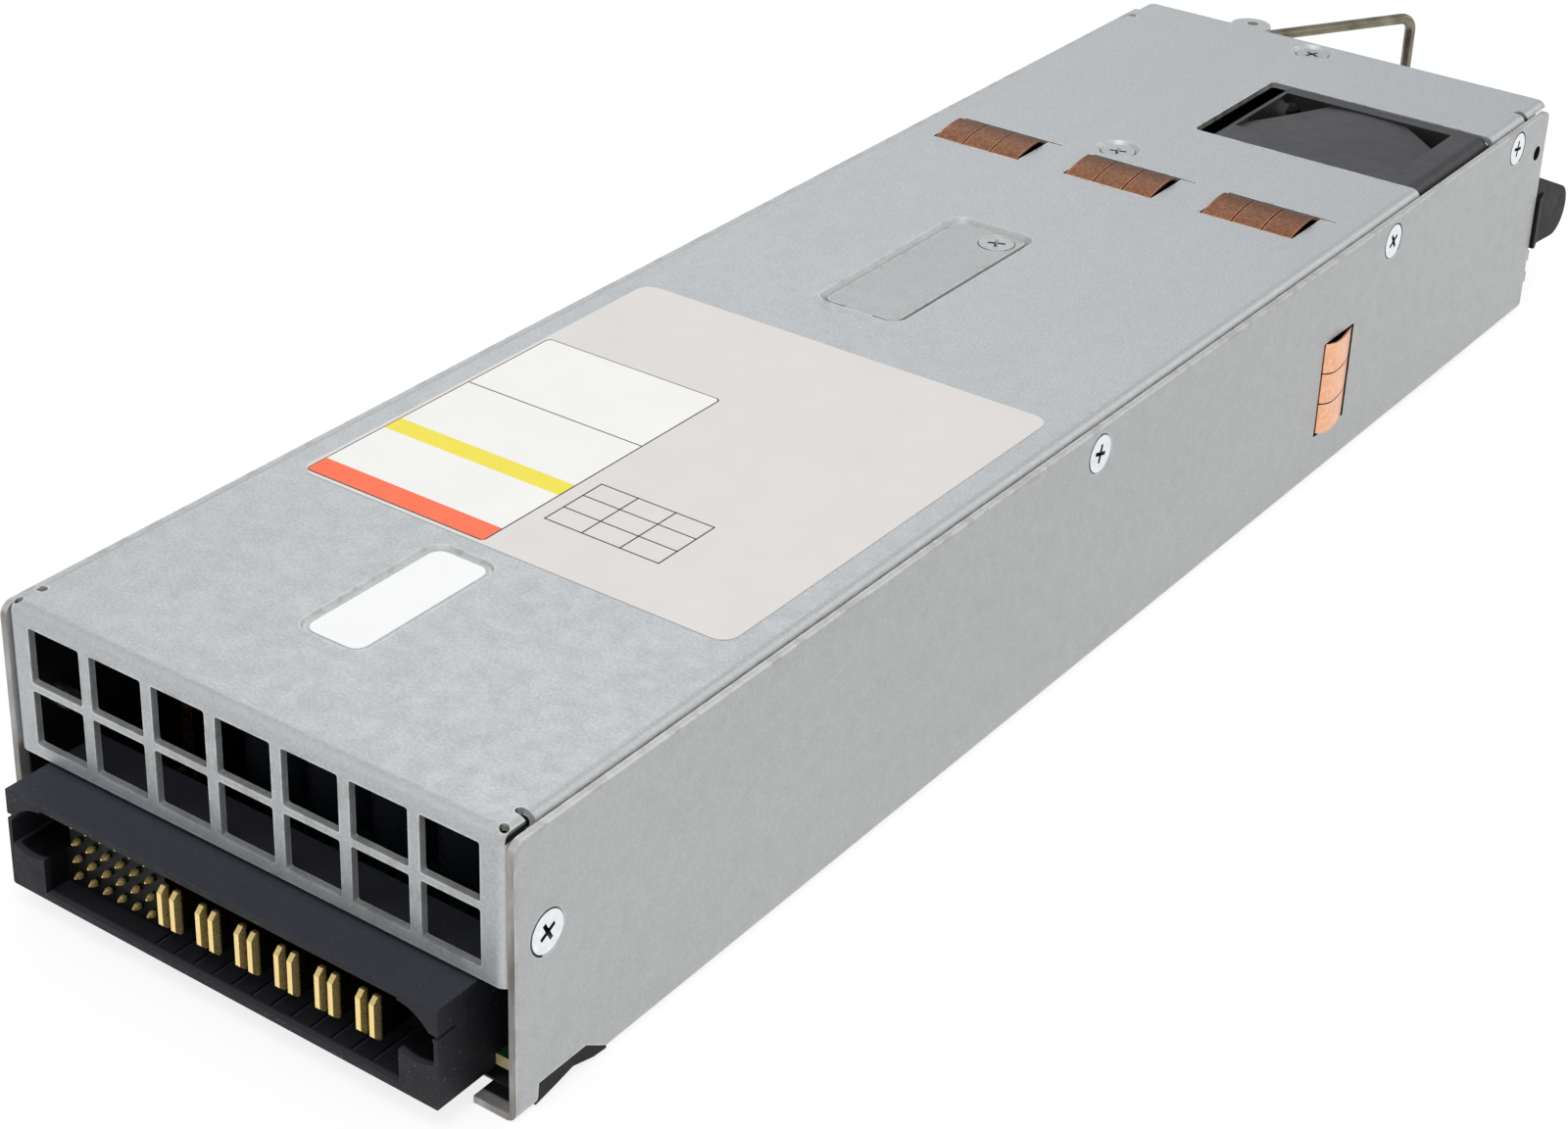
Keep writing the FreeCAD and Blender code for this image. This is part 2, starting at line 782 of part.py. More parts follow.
def dimple_pad(x, y):
    return rod(dimple_radius + sheet, dimple_depth, x, y, cover_under - dimple_depth)


def dimple_cut(x, y):
    return Part.makeCone(dimple_radius - dimple_depth, dimple_radius, dimple_depth,
                         Vector(x, y, case_height - dimple_depth), Z_AXIS)


def dimple_clearance(x, y):
    """Room for the underside of a dimple in the pieces below the cover."""
    low = cover_under - dimple_depth - seam
    return rod(dimple_radius + sheet + seam, dimple_depth + seam + past, x, y, low)


def fan_window():
    left, front, back = window
    opening = box(left, half_width + past, front, back, front_flange_bottom - past, case_height + past)
    return round_edges(opening, window_corner, Z_AXIS, lambda p: p.x < fan_x)


def top_cover():
    body = cover_blank().cut(flange_trims() + [rear_corners()])
    ear = rod(ear_radius, sheet, bail_x, cover_length, cover_under)
    pads = [dimple_pad(x, y) for x, y in cover_screws_at]
    body = join([body, ear, recess_pad(label_recess, label_recess_depth, label_recess_draft),
                 recess_pad(hatch_recess, hatch_recess_depth, hatch_recess_draft)] + pads)
    cuts = grille_holes() + finger_slots() + [fan_window(), hatch_slits(), bail_hole(cover_under - past)]
    cuts.append(recess(label_recess, label_recess_depth, label_recess_draft))
    cuts.append(recess(hatch_recess, hatch_recess_depth, hatch_recess_draft))
    cuts += [dimple_cut(x, y) for x, y in cover_screws_at]
    cuts += screw_tools(side_screw_places() + cover_screw_places() + hatch_screw_place())
    return body.cut(cuts)


def recess(area, depth, draft):
    return tapered_pad(area, recess_corner, case_height, case_height - depth, draft)


def recess_pad(area, depth, draft):
    """The sheet pressed down below a recess."""
    return tapered_pad(grown(area), recess_corner + sheet, cover_under, cover_under - depth, draft)


def grown(area):
    x0, x1, y0, y1 = area
    return [x0 - sheet, x1 + sheet, y0 - sheet, y1 + sheet]


def rear_corners():
    """Waste outside the rounded rear corners of the cover."""
    radius = rear_corner
    waste = []
    for side in (1, -1):
        x, y = side * (cover_half - radius), cover_length - radius
        square = box(min(x, x + side * 3 * radius), max(x, x + side * 3 * radius), y, y + 3 * radius,
                     cover_under - past, case_height + past)
        waste.append(square.cut(rod(radius, 4 * sheet, x, y, cover_under - past)))
    return group(waste)


def hatch_plate():
    """Loose plate in the long recess: its tongue hooks under the cover, one screw holds it."""
    x0, x1, y0, y1 = hatch_recess
    inset = hatch_recess_draft + hatch_gap
    z = case_height - hatch_recess_depth
    outline = rounded_rectangle(x0 + inset, x1 - inset, y0 + inset, y1 - inset, z, recess_corner - inset)
    plate = Part.Face(outline).extrude(Vector(0, 0, hatch_sheet))
    middle = (x0 + x1) / 2
    tongue = box(middle - hatch_tongue_width / 2, middle + hatch_tongue_width / 2,
                 y0 - hatch_tongue_length, y0 + inset + past, z, z + hatch_sheet)
    return join([plate, tongue]).cut(screw_tools(hatch_screw_place()))


# ================================================================ contact fingers
def finger_profile():
    """Side outline of one sprung finger: u along its length, v out of the sheet's face.

    It rises slowly to a crown beyond the middle and drops again over a shorter arc."""
    near, far = finger_ends()
    tucked = -sheet - finger_sheet
    crown = finger_crown * finger_slot_length / 2
    skin = finger_sheet
    outer = [crest(near, crown, finger_rise, -finger_foot), crest(crown, far, finger_rise, -finger_foot)]
    inner = [crest(near + skin, crown, finger_rise - skin, -finger_foot - skin),
             crest(crown, far - skin, finger_rise - skin, -finger_foot - skin)]
    edges = outer + inner
    for end, inward in ((far, -skin), (near, skin)):
        leg = Part.makePolygon([Vector(end, -finger_foot, 0),
                                Vector(end, tucked, 0),
                                Vector(end + inward, tucked, 0),
                                Vector(end + inward, -finger_foot - skin, 0)])
        edges += leg.Edges
    return Part.Face(Part.Wire(Part.__sortEdges__(edges)))


def finger_ends():
    half = finger_slot_length / 2
    return finger_slot_near - half, half - finger_slot_far


def crest(start, end, top, foot):
    """Arc between u = start and u = end, level with the sheet where it meets the crown."""
    rising = abs(start) > abs(end) and start < 0
    span = end - start
    drop = top - foot
    radius = (span * span + drop * drop) / (2 * drop)
    crown, low = (end, start) if rising else (start, end)
    angle = math.asin(span / radius) / 2
    side = -1 if rising else 1
    middle = Vector(crown + side * radius * math.sin(angle), top - radius + radius * math.cos(angle), 0)
    return Part.Arc(Vector(crown, top, 0), middle, Vector(low, foot, 0)).toShape()


def finger_strip():
    """Fingers in a row with the two lips that tuck under the sheet; w runs across the row."""
    near, far = finger_ends()
    width = finger_group_width()
    pieces = []
    for index in range(finger_count):
        finger = finger_profile().extrude(Vector(0, 0, finger_width))
        finger.translate(Vector(0, 0, -width / 2 + index * (finger_width + finger_gap)))
        pieces.append(finger)
    under = -sheet - finger_sheet
    pieces.append(box(near - finger_lip, near + finger_sheet, under, -sheet, -width / 2, width / 2))
    pieces.append(box(far - finger_sheet, far + finger_lip, under, -sheet, -width / 2, width / 2))
    return join(pieces)


def top_fingers():
    """u becomes Y, v becomes Z and w becomes X."""
    strips = []
    for x in finger_group_centres():
        strip = finger_strip()
        strip.rotate(Vector(0, 0, 0), Vector(1, 1, 1), 120)
        strip.translate(Vector(x, finger_y, case_height))
        strips.append(strip.cut(dimple_clearance(*cover_screws_at[0])))
    return group(strips)


def side_fingers():
    """u becomes Y, v becomes X and w becomes Z, on both walls."""
    strip = finger_strip()
    strip.rotate(Vector(0, 0, 0), Z_AXIS, -90)
    strip.translate(Vector(half_width, side_finger_y, side_finger_z))
    return group(both_sides(strip))


# ================================================================ connector
def connector_guide():
    """Pocket at the right end that takes the mating half's guide post."""
    front = -connector_reach - past
    depth = shroud_depth + past
    arcs = []
    for inset, drop in (guide_upper, guide_lower):
        arcs.append(rod(guide_radius, depth, connector_half - inset, front, connector_top - drop, Y_AXIS))
    inside = box(connector_half - end_block - past, connector_half - guide_wall, front, front + depth,
                 block_top - connector_skin, connector_top)
    return arcs[0].common(arcs[1]).common(inside)


def connector_housing(contacts):
    front = -connector_reach
    back_wall = front + shroud_depth
    body = box(-connector_half, connector_half, front, board_front - seam, connector_bottom, connector_top)
    seat = box(-connector_half, connector_half, board_front - 2 * seam, connector_back,
               board_top, connector_top)
    body = round_edges(join([body, seat]), connector_edge, Y_AXIS, lambda p: p.z > board_top or p.y < 0)
    inner = connector_half - end_block
    cavity = box(-inner, inner, front - past, back_wall, connector_bottom + connector_skin,
                 connector_top - connector_skin)
    slit_z = connector_top - guide_upper[1] + guide_radius / 2
    slit = box(connector_half - guide_slit_width, connector_half + past,
               front - past, front + guide_slit_depth, slit_z, slit_z + guide_slit)
    cavity = cavity.cut(pin_block(inner, back_wall))
    cuts = [cavity] + both_sides(connector_guide()) + both_sides(slit)
    cuts += floor_grooves(inner, front, back_wall)
    return body.cut(cuts + contacts)


def pin_block(inner, back_wall):
    """Raised block that the signal pins stand in, as high as the cavity."""
    right = pin_x + (pin_columns - 1) / 2 * pin_pitch + pin_block_side
    return box(-inner - past, right, pin_block_front, back_wall + past, 0, case_height)


def floor_grooves(inner, front, back_wall):
    grooves = []
    start = front + floor_groove_start
    step = pair_pitch / 2
    count = int(2 * (inner - step) / step)
    for index in range(count):
        x = (index - (count - 1) / 2) * step
        if x > pin_x + pin_columns / 2 * pin_pitch:
            grooves.append(block(x, (start + back_wall) / 2, connector_bottom + connector_skin - floor_groove,
                                 floor_groove_width, back_wall - start, 2 * floor_groove))
    return grooves


def signal_pins():
    """Right-angle pins: a pointed mating end, a run through the housing and a tail into the board."""
    pins = []
    for row in range(pin_rows):
        z = pin_z + ((pin_rows - 1) / 2 - row) * pin_pitch
        tail_y = connector_back + tail_start + (pin_rows - 1 - row) * tail_pitch
        for column in range(pin_columns):
            x = pin_x + (column - (pin_columns - 1) / 2) * pin_pitch
            pins.append(signal_pin(x, z, tail_y))
    return pins


def signal_pin(x, z, tail_y):
    half = pin_side / 2
    run = box(x - half, x + half, pin_tip + pin_side, tail_y, z - half, z + half)
    tip = Part.makeLoft([square_wire(x, pin_tip + pin_side, z, half), square_wire(x, pin_tip, z, half / 3)],
                        True, True)
    tail = box(x - half, x + half, tail_y - pin_side, tail_y, board_bottom, z + half)
    return join([run, tip, tail])


def square_wire(x, y, z, half):
    corners = [(-half, -half), (half, -half), (half, half), (-half, half), (-half, -half)]
    return Part.makePolygon([Vector(x + dx, y, z + dz) for dx, dz in corners])


def power_blades():
    """Pairs of flat blades with bevelled tips and a foot soldered through the board."""
    blades = []
    for pair in range(blade_pairs):
        middle = pair_x + (pair - (blade_pairs - 1) / 2) * pair_pitch
        for side in (-1, 1):
            x = middle + side * pair_spread / 2
            blades.append(power_blade(x))
    return blades


def power_blade(x):
    low = power_blade_z - power_blade_height / 2
    high = low + power_blade_height
    bevel = power_blade_bevel
    foot_start = connector_back + tail_start
    foot_end = foot_start + power_foot
    outline = [(power_blade_tip, low + bevel), (power_blade_tip + bevel, low), (foot_start, low),
               (foot_start, board_bottom), (foot_end, board_bottom), (foot_end, high),
               (power_blade_tip + bevel, high), (power_blade_tip, high - bevel)]
    return prism_x(outline, x - power_blade_sheet / 2, x + power_blade_sheet / 2)


# ================================================================ boards
def board_outline():
    """The board fills the tray but steps in beside the fan."""
    return [(-board_half, board_front), (board_half, board_front), (board_half, board_step),
            (window[0], board_step), (window[0], board_end), (-board_half, board_end)]


def main_board(contacts):
    board = prism_z(board_outline(), board_bottom, board_top)
    holes = [rod(board_screw_radius + screw_clearance, board_sheet + 2 * past, x, y, board_bottom - past)
             for x, y in standoffs_at]
    return board.cut(holes + contacts)


def insulator():
    low = sheet + insulator_lift
    film = prism_z(board_outline(), low, low + insulator_sheet)
    holes = [rod(standoff_radius + standoff_hole_gap, 4 * past, x, y, 0) for x, y in standoffs_at]
    return film.cut(holes)


def standoffs():
    posts = []
    for x, y in standoffs_at:
        post = rod(standoff_radius, board_rise, x, y, sheet)
        posts.append(post.cut(rod(board_screw_radius, board_rise + past, x, y, sheet)))
    return group(posts)


def board_screws():
    pieces = []
    for x, y in standoffs_at:
        head = Part.makeCone(board_screw_head_radius, board_screw_crown_radius, board_screw_head_height,
                             Vector(x, y, board_top), Z_AXIS)
        shank = rod(board_screw_radius - shaft_clearance, board_sheet + board_screw_reach, x, y,
                    board_bottom - board_screw_reach)
        pieces.append(join([head, shank]))
    return group(pieces)


# ================================================================ parts on the board
def can_capacitor(radius, height, x, y, crimp):
    """Aluminium can with a bevelled top edge; the large ones have a crimp round the foot."""
    outline = [(0, 0), (radius, 0)]
    if crimp:
        outline += [(radius, crimp_height), (radius - crimp_depth, crimp_height + crimp_depth),
                    (radius, crimp_height + 2 * crimp_depth)]
    outline += [(radius, height - can_bevel), (radius - can_bevel, height), (0, height), (0, 0)]
    wire = Part.makePolygon([Vector(x + across, y, board_top + up) for across, up in outline])
    return Part.Face(wire).revolve(Vector(x, y, 0), Z_AXIS, 360)


def bulk_capacitors():
    return group([can_capacitor(bulk_radius, bulk_height, bulk_x, y, True)
                  for y in (bulk_first_y, bulk_second_y)])


def output_capacitors():
    cans = []
    for row in range(output_cap_rows):
        for column in range(output_cap_columns):
            x = output_cap_room / 2 + (column - (output_cap_columns - 1) / 2) * output_cap_pitch
            y = output_cap_y + (row - (output_cap_rows - 1) / 2) * output_cap_pitch
            cans.append(can_capacitor(output_cap_radius, output_cap_height, x, y, False))
    return group(cans)


def toroid_core(x, y, scale):
    height = toroid_height * scale
    ring = rod(toroid_outer * scale, height, x, y, board_top + wire_side)
    return ring.cut(rod(toroid_inner * scale, height, x, y, board_top + wire_side))


def toroid_winding(x, y, scale, turns):
    """Separate flat turns round the ring, spaced evenly with a gap where the ends leave."""
    height = toroid_height * scale
    inner = toroid_inner * scale
    outer = toroid_outer * scale
    loops = []
    for turn in range(turns):
        loop = box(inner - wire_side, outer + wire_side, -wire_side / 2, wire_side / 2, 0,
                   height + 2 * wire_side)
        hole = box(inner - winding_slack, outer, -wire_side, wire_side, wire_side, height + wire_side)
        loop = loop.cut(hole)
        loop.rotate(Vector(0, 0, 0), Z_AXIS, (turn + 0.5) * 360 / turns)
        loop.translate(Vector(x, y, board_top))
        loops.append(loop)
    return loops


def wound_ring(x, y, scale, turns):
    loops = toroid_winding(x, y, scale, turns)
    return toroid_core(x, y, scale).cut(loops), group(loops)


def transformer_core():
    """Closed core: two yokes and three legs, standing on the board."""
    body = block(transformer_x, transformer_y, board_top, core_width, core_depth, core_height)
    side = (core_width - core_leg) / 2 - core_yoke
    windows = []
    for direction in (1, -1):
        middle = transformer_x + direction * (core_leg / 2 + side / 2)
        windows.append(block(middle, transformer_y, board_top + core_yoke, side, core_depth + 2 * past,
                             core_height - 2 * core_yoke))
    return body.cut(windows)


def transformer_coil():
    """Coil round the middle leg, inside both windows."""
    x, y = transformer_x, transformer_y
    side = (core_width - core_leg) / 2 - core_yoke - core_window_gap
    z = board_top + core_yoke + core_window_gap
    height = core_height - 2 * (core_yoke + core_window_gap)
    width = core_leg + 2 * side
    outer = round_edges(block(x, y, z, width, coil_depth, height), coil_corner, Z_AXIS)
    flange = block(x, y, z, width - coil_flange, coil_depth + 2 * coil_flange, coil_flange_sheet)
    flange = round_edges(flange, coil_corner, Z_AXIS)
    inner = block(x, y, z, core_leg + 2 * core_window_gap, core_depth + 2 * core_window_gap, height)
    return join([outer, flange]).cut(inner)


def heat_sink(x, span, side):
    """Extrusion along Y: an upright plate with fins on one side."""
    y0, y1 = span
    pieces = [box(x - sink_plate / 2, x + sink_plate / 2, y0, y1, board_top, board_top + sink_height)]
    gap = (sink_height - sink_fin_sheet) / (sink_fins - 1)
    for fin in range(sink_fins):
        z = board_top + fin * gap
        tip = x + side * (sink_plate / 2 + sink_fin_reach)
        pieces.append(box(min(x, tip), max(x, tip), y0, y1, z, z + sink_fin_sheet))
    return join(pieces)


def transistor(x, y, side, length):
    """Package flat against the sink's plain face, with three leads into the board."""
    face = x + side * sink_plate / 2
    outer = face + side * package_thickness
    near = min(face, outer)
    top = board_top + package_lift + package_height
    body = box(near, near + package_thickness, y - length / 2, y + length / 2, board_top + package_lift, top)
    body = body.cut(rod(package_hole_radius, package_thickness + 2 * past, near - past, y,
                        top - package_hole_drop, X_AXIS))
    pieces = [body]
    for lead in (-1, 0, 1):
        pieces.append(block(near + package_thickness / 2, y + lead * lead_share * length, board_top,
                            lead_sheet, lead_width, package_lift + lead_sheet))
    return join(pieces)


def transistor_row(x, span, side, count):
    """Packages side by side, as wide as the sink's length allows."""
    pitch = (span[1] - span[0]) / count
    return [transistor(x, span[0] + (index + 0.5) * pitch, side, pitch - package_gap)
            for index in range(count)]


def film_capacitors():
    depth, height = film_cap
    return group([round_edges(block(film_cap_x, y, board_top, film_cap_length, depth, height),
                              film_cap_corner, Z_AXIS) for y in film_cap_ys])


def bridge_rectifier():
    width, depth, height = bridge
    x = bridge_gap - board_half
    top = board_top + package_lift + height
    body = block(x, bridge_y, board_top + package_lift, width, depth, height)
    body = body.cut(rod(package_hole_radius, depth + 2 * past, x, bridge_y - depth, top - package_hole_drop,
                        Y_AXIS))
    pieces = [body]
    for lead in range(bridge_leads):
        lead_x = x + (lead - (bridge_leads - 1) / 2) * bridge_lead_pitch
        pieces.append(block(lead_x, bridge_y, board_top, lead_width, lead_sheet, package_lift + lead_sheet))
    return join(pieces)


def fuse():
    """Glass body and its two end caps, in spring clips that stand on the board."""
    z = board_top + fuse_lift + fuse_radius
    start = fuse_x - fuse_length / 2
    cap_length = fuse_cap_share * fuse_length
    glass = rod(fuse_radius - fuse_wall, fuse_length - 2 * cap_length, start + cap_length, fuse_y, z, X_AXIS)
    caps = []
    for cap_start in (start, start + fuse_length - cap_length):
        cap = rod(fuse_radius, cap_length, cap_start, fuse_y, z, X_AXIS)
        clip = block(cap_start + cap_length / 2, fuse_y, board_top, fuse_clip, fuse_clip,
                     fuse_lift + fuse_radius)
        caps.append(join([cap, clip]))
    return glass, group(caps)


def output_inductor():
    """Ferrite block with a copper strap that passes through it."""
    width, depth, height = inductor
    x = inductor_gap - board_half
    core = round_edges(block(x, inductor_y, board_top, width, depth, height), inductor_corner, Z_AXIS)
    reach = depth / 2 + inductor_strap_reach
    z = board_top + (height - inductor_strap) / 2
    tunnel = block(x, inductor_y, z, inductor_strap_width, 2 * depth, inductor_strap)
    pieces = [block(x, inductor_y, z, inductor_strap_width, 2 * reach, inductor_strap)]
    for side in (-1, 1):
        pieces.append(block(x, inductor_y + side * (reach - inductor_strap / 2), board_top,
                            inductor_strap_width, inductor_strap, (height + inductor_strap) / 2))
    return core.cut(tunnel), join(pieces)


def bus_bars():
    """Two upright copper bars that carry the output beside the capacitor field."""
    bars = []
    for gap in bus_bar_gaps:
        x = gap - board_half
        bar = box(x - bus_bar_sheet / 2, x + bus_bar_sheet / 2, bus_bar_span[0], bus_bar_span[1],
                  board_top, board_top + bus_bar_height)
        bars.append(round_edges(bar, bus_bar_corner, X_AXIS, lambda p: p.z > board_top + past))
    return group(bars)


def control_board():
    y0, y1 = control_y
    card = box(control_x - control_sheet / 2, control_x + control_sheet / 2, y0, y1, board_top,
               board_top + control_height)
    return round_edges(card, 1.0, X_AXIS, lambda p: p.z > board_top + past)


def control_chips():
    width, height = chip
    face = control_x + control_sheet / 2
    step = (control_y[1] - control_y[0]) / chip_count
    length = chip_share * step
    chips = []
    for index in range(chip_count):
        y = control_y[0] + (index + 0.5) * step
        z = board_top + control_height * chip_levels[index % 2]
        chips.append(box(face, face + height, y - length / 2, y + length / 2, z - width / 2, z + width / 2))
    return group(chips)


# ================================================================ fan
def fan_frame():
    """Square frame with a bore, a sunk field in its top and bottom and a motor seat on struts."""
    half = fan_side / 2
    body = box(fan_left, fan_right, fan_front, fan_back, fan_z - half, fan_z + half)
    body = round_edges(body, fan_corner, Y_AXIS)
    bore = rod(fan_bore_radius, fan_depth + 2 * past, fan_x, fan_front - past, fan_z, Y_AXIS)
    field = fan_field()
    turned = field.mirror(Vector(0, 0, fan_z), Z_AXIS)
    body = body.cut([bore, field, turned] + fan_holes())
    return join([body, motor_seat()])


def fan_field():
    """What is hollowed from the top: a field with a gentle crown and a deep pocket in its two far corners."""
    rim = fan_z + fan_side / 2
    left = fan_left + fan_recess_left
    right = fan_right - fan_recess_right
    near = fan_front + fan_recess_near
    far = fan_back - fan_recess_far
    field = Part.makeLoft([crowned_section(left, right, near, rim, 2 * fan_recess_crown),
                           crowned_section(left, right, far, rim, fan_recess_edge)], True, True)
    barrel = rod(fan_bore_radius + fan_barrel_wall, fan_depth, fan_x, fan_front, fan_z, Y_AXIS)
    pockets = [field]
    for side, reach, run in ((left, fan_pocket_width, fan_pocket_left),
                             (right, -fan_pocket_width, fan_pocket_right)):
        corner = prism_z([(side, far), (side + reach, far), (side, far - run)], fan_z, rim + past)
        pockets.append(corner.cut(barrel))
    return join(pockets)


def crowned_section(x0, x1, y, rim, edge_drop):
    """Outline across the fan, open above the rim, with an arched lower side."""
    low = rim - edge_drop
    crown = Vector(fan_x, y, rim - fan_recess_crown)
    arch = Part.Arc(Vector(x0, y, low), crown, Vector(x1, y, low)).toShape()
    sides = Part.makePolygon([Vector(x1, y, low), Vector(x1, y, rim + past), Vector(x0, y, rim + past),
                              Vector(x0, y, low)])
    return Part.Wire([arch] + sides.Edges)


def fan_holes():
    inset = fan_side / 2 - fan_hole_inset
    return [rod(fan_hole_radius, fan_recess_far + past, fan_x + dx, y, fan_z + dz, Y_AXIS)
            for y in (fan_front - past, fan_back - fan_recess_far)
            for dx in (-inset, inset) for dz in (-inset, inset)]


def motor_seat():
    """Disc and bearing tube behind the impeller, carried by slanted struts."""
    seat_y = fan_back - motor_plate
    seat = rod(hub_radius, motor_plate, fan_x, seat_y, fan_z, Y_AXIS)
    tube_length = hub_length - hub_end_gap
    tube = rod(fan_shaft_radius + bearing_wall, tube_length, fan_x, seat_y - tube_length, fan_z, Y_AXIS)
    struts = []
    for index in range(strut_count):
        strut = box(fan_x + hub_radius - past, fan_x + fan_bore_radius + fan_wall / 2, seat_y, fan_back,
                    fan_z - strut_width / 2, fan_z + strut_width / 2)
        strut.rotate(Vector(fan_x, seat_y, fan_z), Y_AXIS, (index + 0.5) * 360 / strut_count)
        struts.append(strut)
    return join([seat, tube] + struts).cut(
        rod(fan_shaft_radius + shaft_clearance, fan_depth, fan_x, seat_y - tube_length - past, fan_z, Y_AXIS))


def fan_motor():
    """Stator core round the bearing tube, one arm to a pole."""
    y = fan_back - motor_plate - motor_gap - motor_depth
    bore_radius = fan_shaft_radius + bearing_wall
    pieces = [rod(bore_radius + motor_ring, motor_depth, fan_x, y, fan_z, Y_AXIS)]
    for pole in range(motor_poles):
        arm = box(fan_x, fan_x + hub_radius - hub_wall - motor_gap, y, y + motor_depth,
                  fan_z - pole_width / 2, fan_z + pole_width / 2)
        arm.rotate(Vector(fan_x, y, fan_z), Y_AXIS, pole * 360 / motor_poles)
        pieces.append(arm)
    return join(pieces).cut(rod(bore_radius, motor_depth + 2 * past, fan_x, y - past, fan_z, Y_AXIS))


def blade_section(radius, lean):
    """Flat section of a blade at one radius, thinner at its leading edge and turned by the lean angle."""
    half_chord = blade_chord / 2
    half_sheet = blade_thickness / 2
    corners = []
    for u, v in ((-half_chord, -half_sheet), (half_chord, -half_sheet / 2),
                 (half_chord, half_sheet / 2), (-half_chord, half_sheet)):
        along = u * math.cos(math.radians(lean)) - v * math.sin(math.radians(lean))
        across = u * math.sin(math.radians(lean)) + v * math.cos(math.radians(lean))
        corners.append(Vector(radius, along, across))
    return Part.makePolygon(corners + [corners[0]])


def impeller():
    """Hub cup with twisted blades, open at the back over the motor."""
    hub = rod(hub_radius, hub_length, 0, 0, 0, Y_AXIS)
    front_edge = [edge for edge in hub.Edges if edge.BoundBox.YMax < 1e-6]
    hub = hub.makeFillet(hub_wall, front_edge)
    hub = hub.cut([rod(hub_radius - hub_wall, hub_length, 0, hub_face, 0, Y_AXIS),
                   rod(fan_shaft_radius, 2 * hub_face, 0, -past, 0, Y_AXIS)])
    root = hub_radius - blade_root
    tip = fan_bore_radius - blade_tip_gap
    ring = rod(tip, hub_length, 0, 0, 0, Y_AXIS).cut(rod(root, hub_length, 0, 0, 0, Y_AXIS))
    blades = []
    for index in range(blade_count):
        blade = Part.makeLoft([blade_section(root, 90 - blade_twist - blade_turn),
                               blade_section(tip, 90 - blade_twist + blade_turn)], True, True)
        blade.translate(Vector(0, hub_length / 2, 0))
        blade.rotate(Vector(0, 0, 0), Y_AXIS, index * 360 / blade_count)
        blades.append(blade.common(ring))
    body = join([hub] + blades)
    body.translate(Vector(fan_x, impeller_front(), fan_z))
    return body


def impeller_front():
    return fan_back - motor_plate - rotor_gap - hub_length


def fan_shaft():
    start = impeller_front()
    return rod(fan_shaft_radius, fan_back - shaft_end_gap - start, fan_x, start, fan_z, Y_AXIS)


def fan_lead():
    """Two insulated wires from the fan frame's side to the board beside it."""
    wires = []
    z = board_top + lead_wire_height
    for index in range(lead_wire_count):
        x = window[0] - lead_wire_inset - index * lead_wire_pitch
        y = fan_back - fan_flange + lead_wire_radius + index * lead_wire_pitch
        route = [Vector(x, y, board_top), Vector(x, y, z), Vector(fan_left, y, z)]
        wires.append(bent_wire(route, [2 * lead_wire_radius], lead_wire_radius))
    return group(wires)


# ================================================================ mains inlet
def inlet_outline(width, height, y, depth):
    """Six-sided inlet outline, chamfered along its upper side, run along Y."""
    half = width / 2
    low = inlet_z - height / 2
    high = inlet_z + height / 2
    cut = inlet_chamfer
    points = [(-half, low), (half, low), (half, high - cut), (half - cut, high), (cut - half, high),
              (-half, high - cut)]
    solid = prism([Vector(inlet_x + x, y, z) for x, z in points], Vector(0, depth, 0))
    return round_edges(solid, inlet_inner_corner, Y_AXIS, lambda p: p.z < inlet_z - height / 2 + seam)


def inlet_housing():
    width, height, thickness = inlet_flange
    flange = box(inlet_x - width / 2, inlet_x + width / 2, wall_length, wall_length + thickness,
                 inlet_z - height / 2, inlet_z + height / 2)
    flange = round_edges(flange, inlet_corner, Y_AXIS)
    body_width, body_height, body_depth = inlet_body
    body = inlet_outline(body_width, body_height, wall_length - body_depth, body_depth)
    mouth_width, mouth_height, mouth_depth = inlet_mouth
    mouth_back = wall_length + thickness - mouth_depth
    mouth = inlet_outline(mouth_width, mouth_height, mouth_back, mouth_depth + past)
    return join([flange, body]).cut([mouth] + inlet_blades())


def blade_places():
    """Live, neutral and earth: offsets from the middle of the inlet."""
    return [(-inlet_blade_spacing, -inlet_earth_offset), (inlet_blade_spacing, -inlet_earth_offset),
            (0, inlet_earth_offset)]


def inlet_blades():
    """Three blades, each with a solder tab behind the housing."""
    width, height, length = inlet_blade
    tip = wall_length + inlet_flange[2] - inlet_mouth[2] + length
    blades = []
    for x, z in blade_places():
        blade = box(inlet_x + x - width / 2, inlet_x + x + width / 2, inlet_back, tip,
                    inlet_z + z - height / 2, inlet_z + z + height / 2)
        blades.append(round_edges(blade, inlet_blade_corner, X_AXIS, lambda p: p.y > tip - past))
    return blades


def inlet_leads():
    """Stiff wires from the inlet's tabs down to the board."""
    leads = []
    for x, z in blade_places():
        low = inlet_z + z - inlet_blade[1] / 2
        lead_y = inlet_back + lead_wire_radius + inlet_lead_inset
        leads.append(rod(lead_wire_radius, low - board_top, inlet_x + x, lead_y, board_top))
    return group(leads)


# ================================================================ end panel
def vent_pattern():
    """Honeycomb of hexagonal holes inside a circle in front of the fan."""
    pitch = 2 * vent_hex + vent_bar
    row_pitch = pitch * math.cos(math.pi / 6)
    rows = int(vent_radius / row_pitch)
    holes = []
    for row in range(-rows, rows + 1):
        shift = 0.5 * pitch * (row % 2)
        for column in range(-rows - 1, rows + 2):
            x = column * pitch + shift
            z = row * row_pitch
            if math.hypot(x, z) + vent_hex <= vent_radius:
                holes.append(hexagon(fan_x + x, fan_z + z, vent_hex, wall_length - sheet - past,
                                     sheet + 2 * past))
    return holes


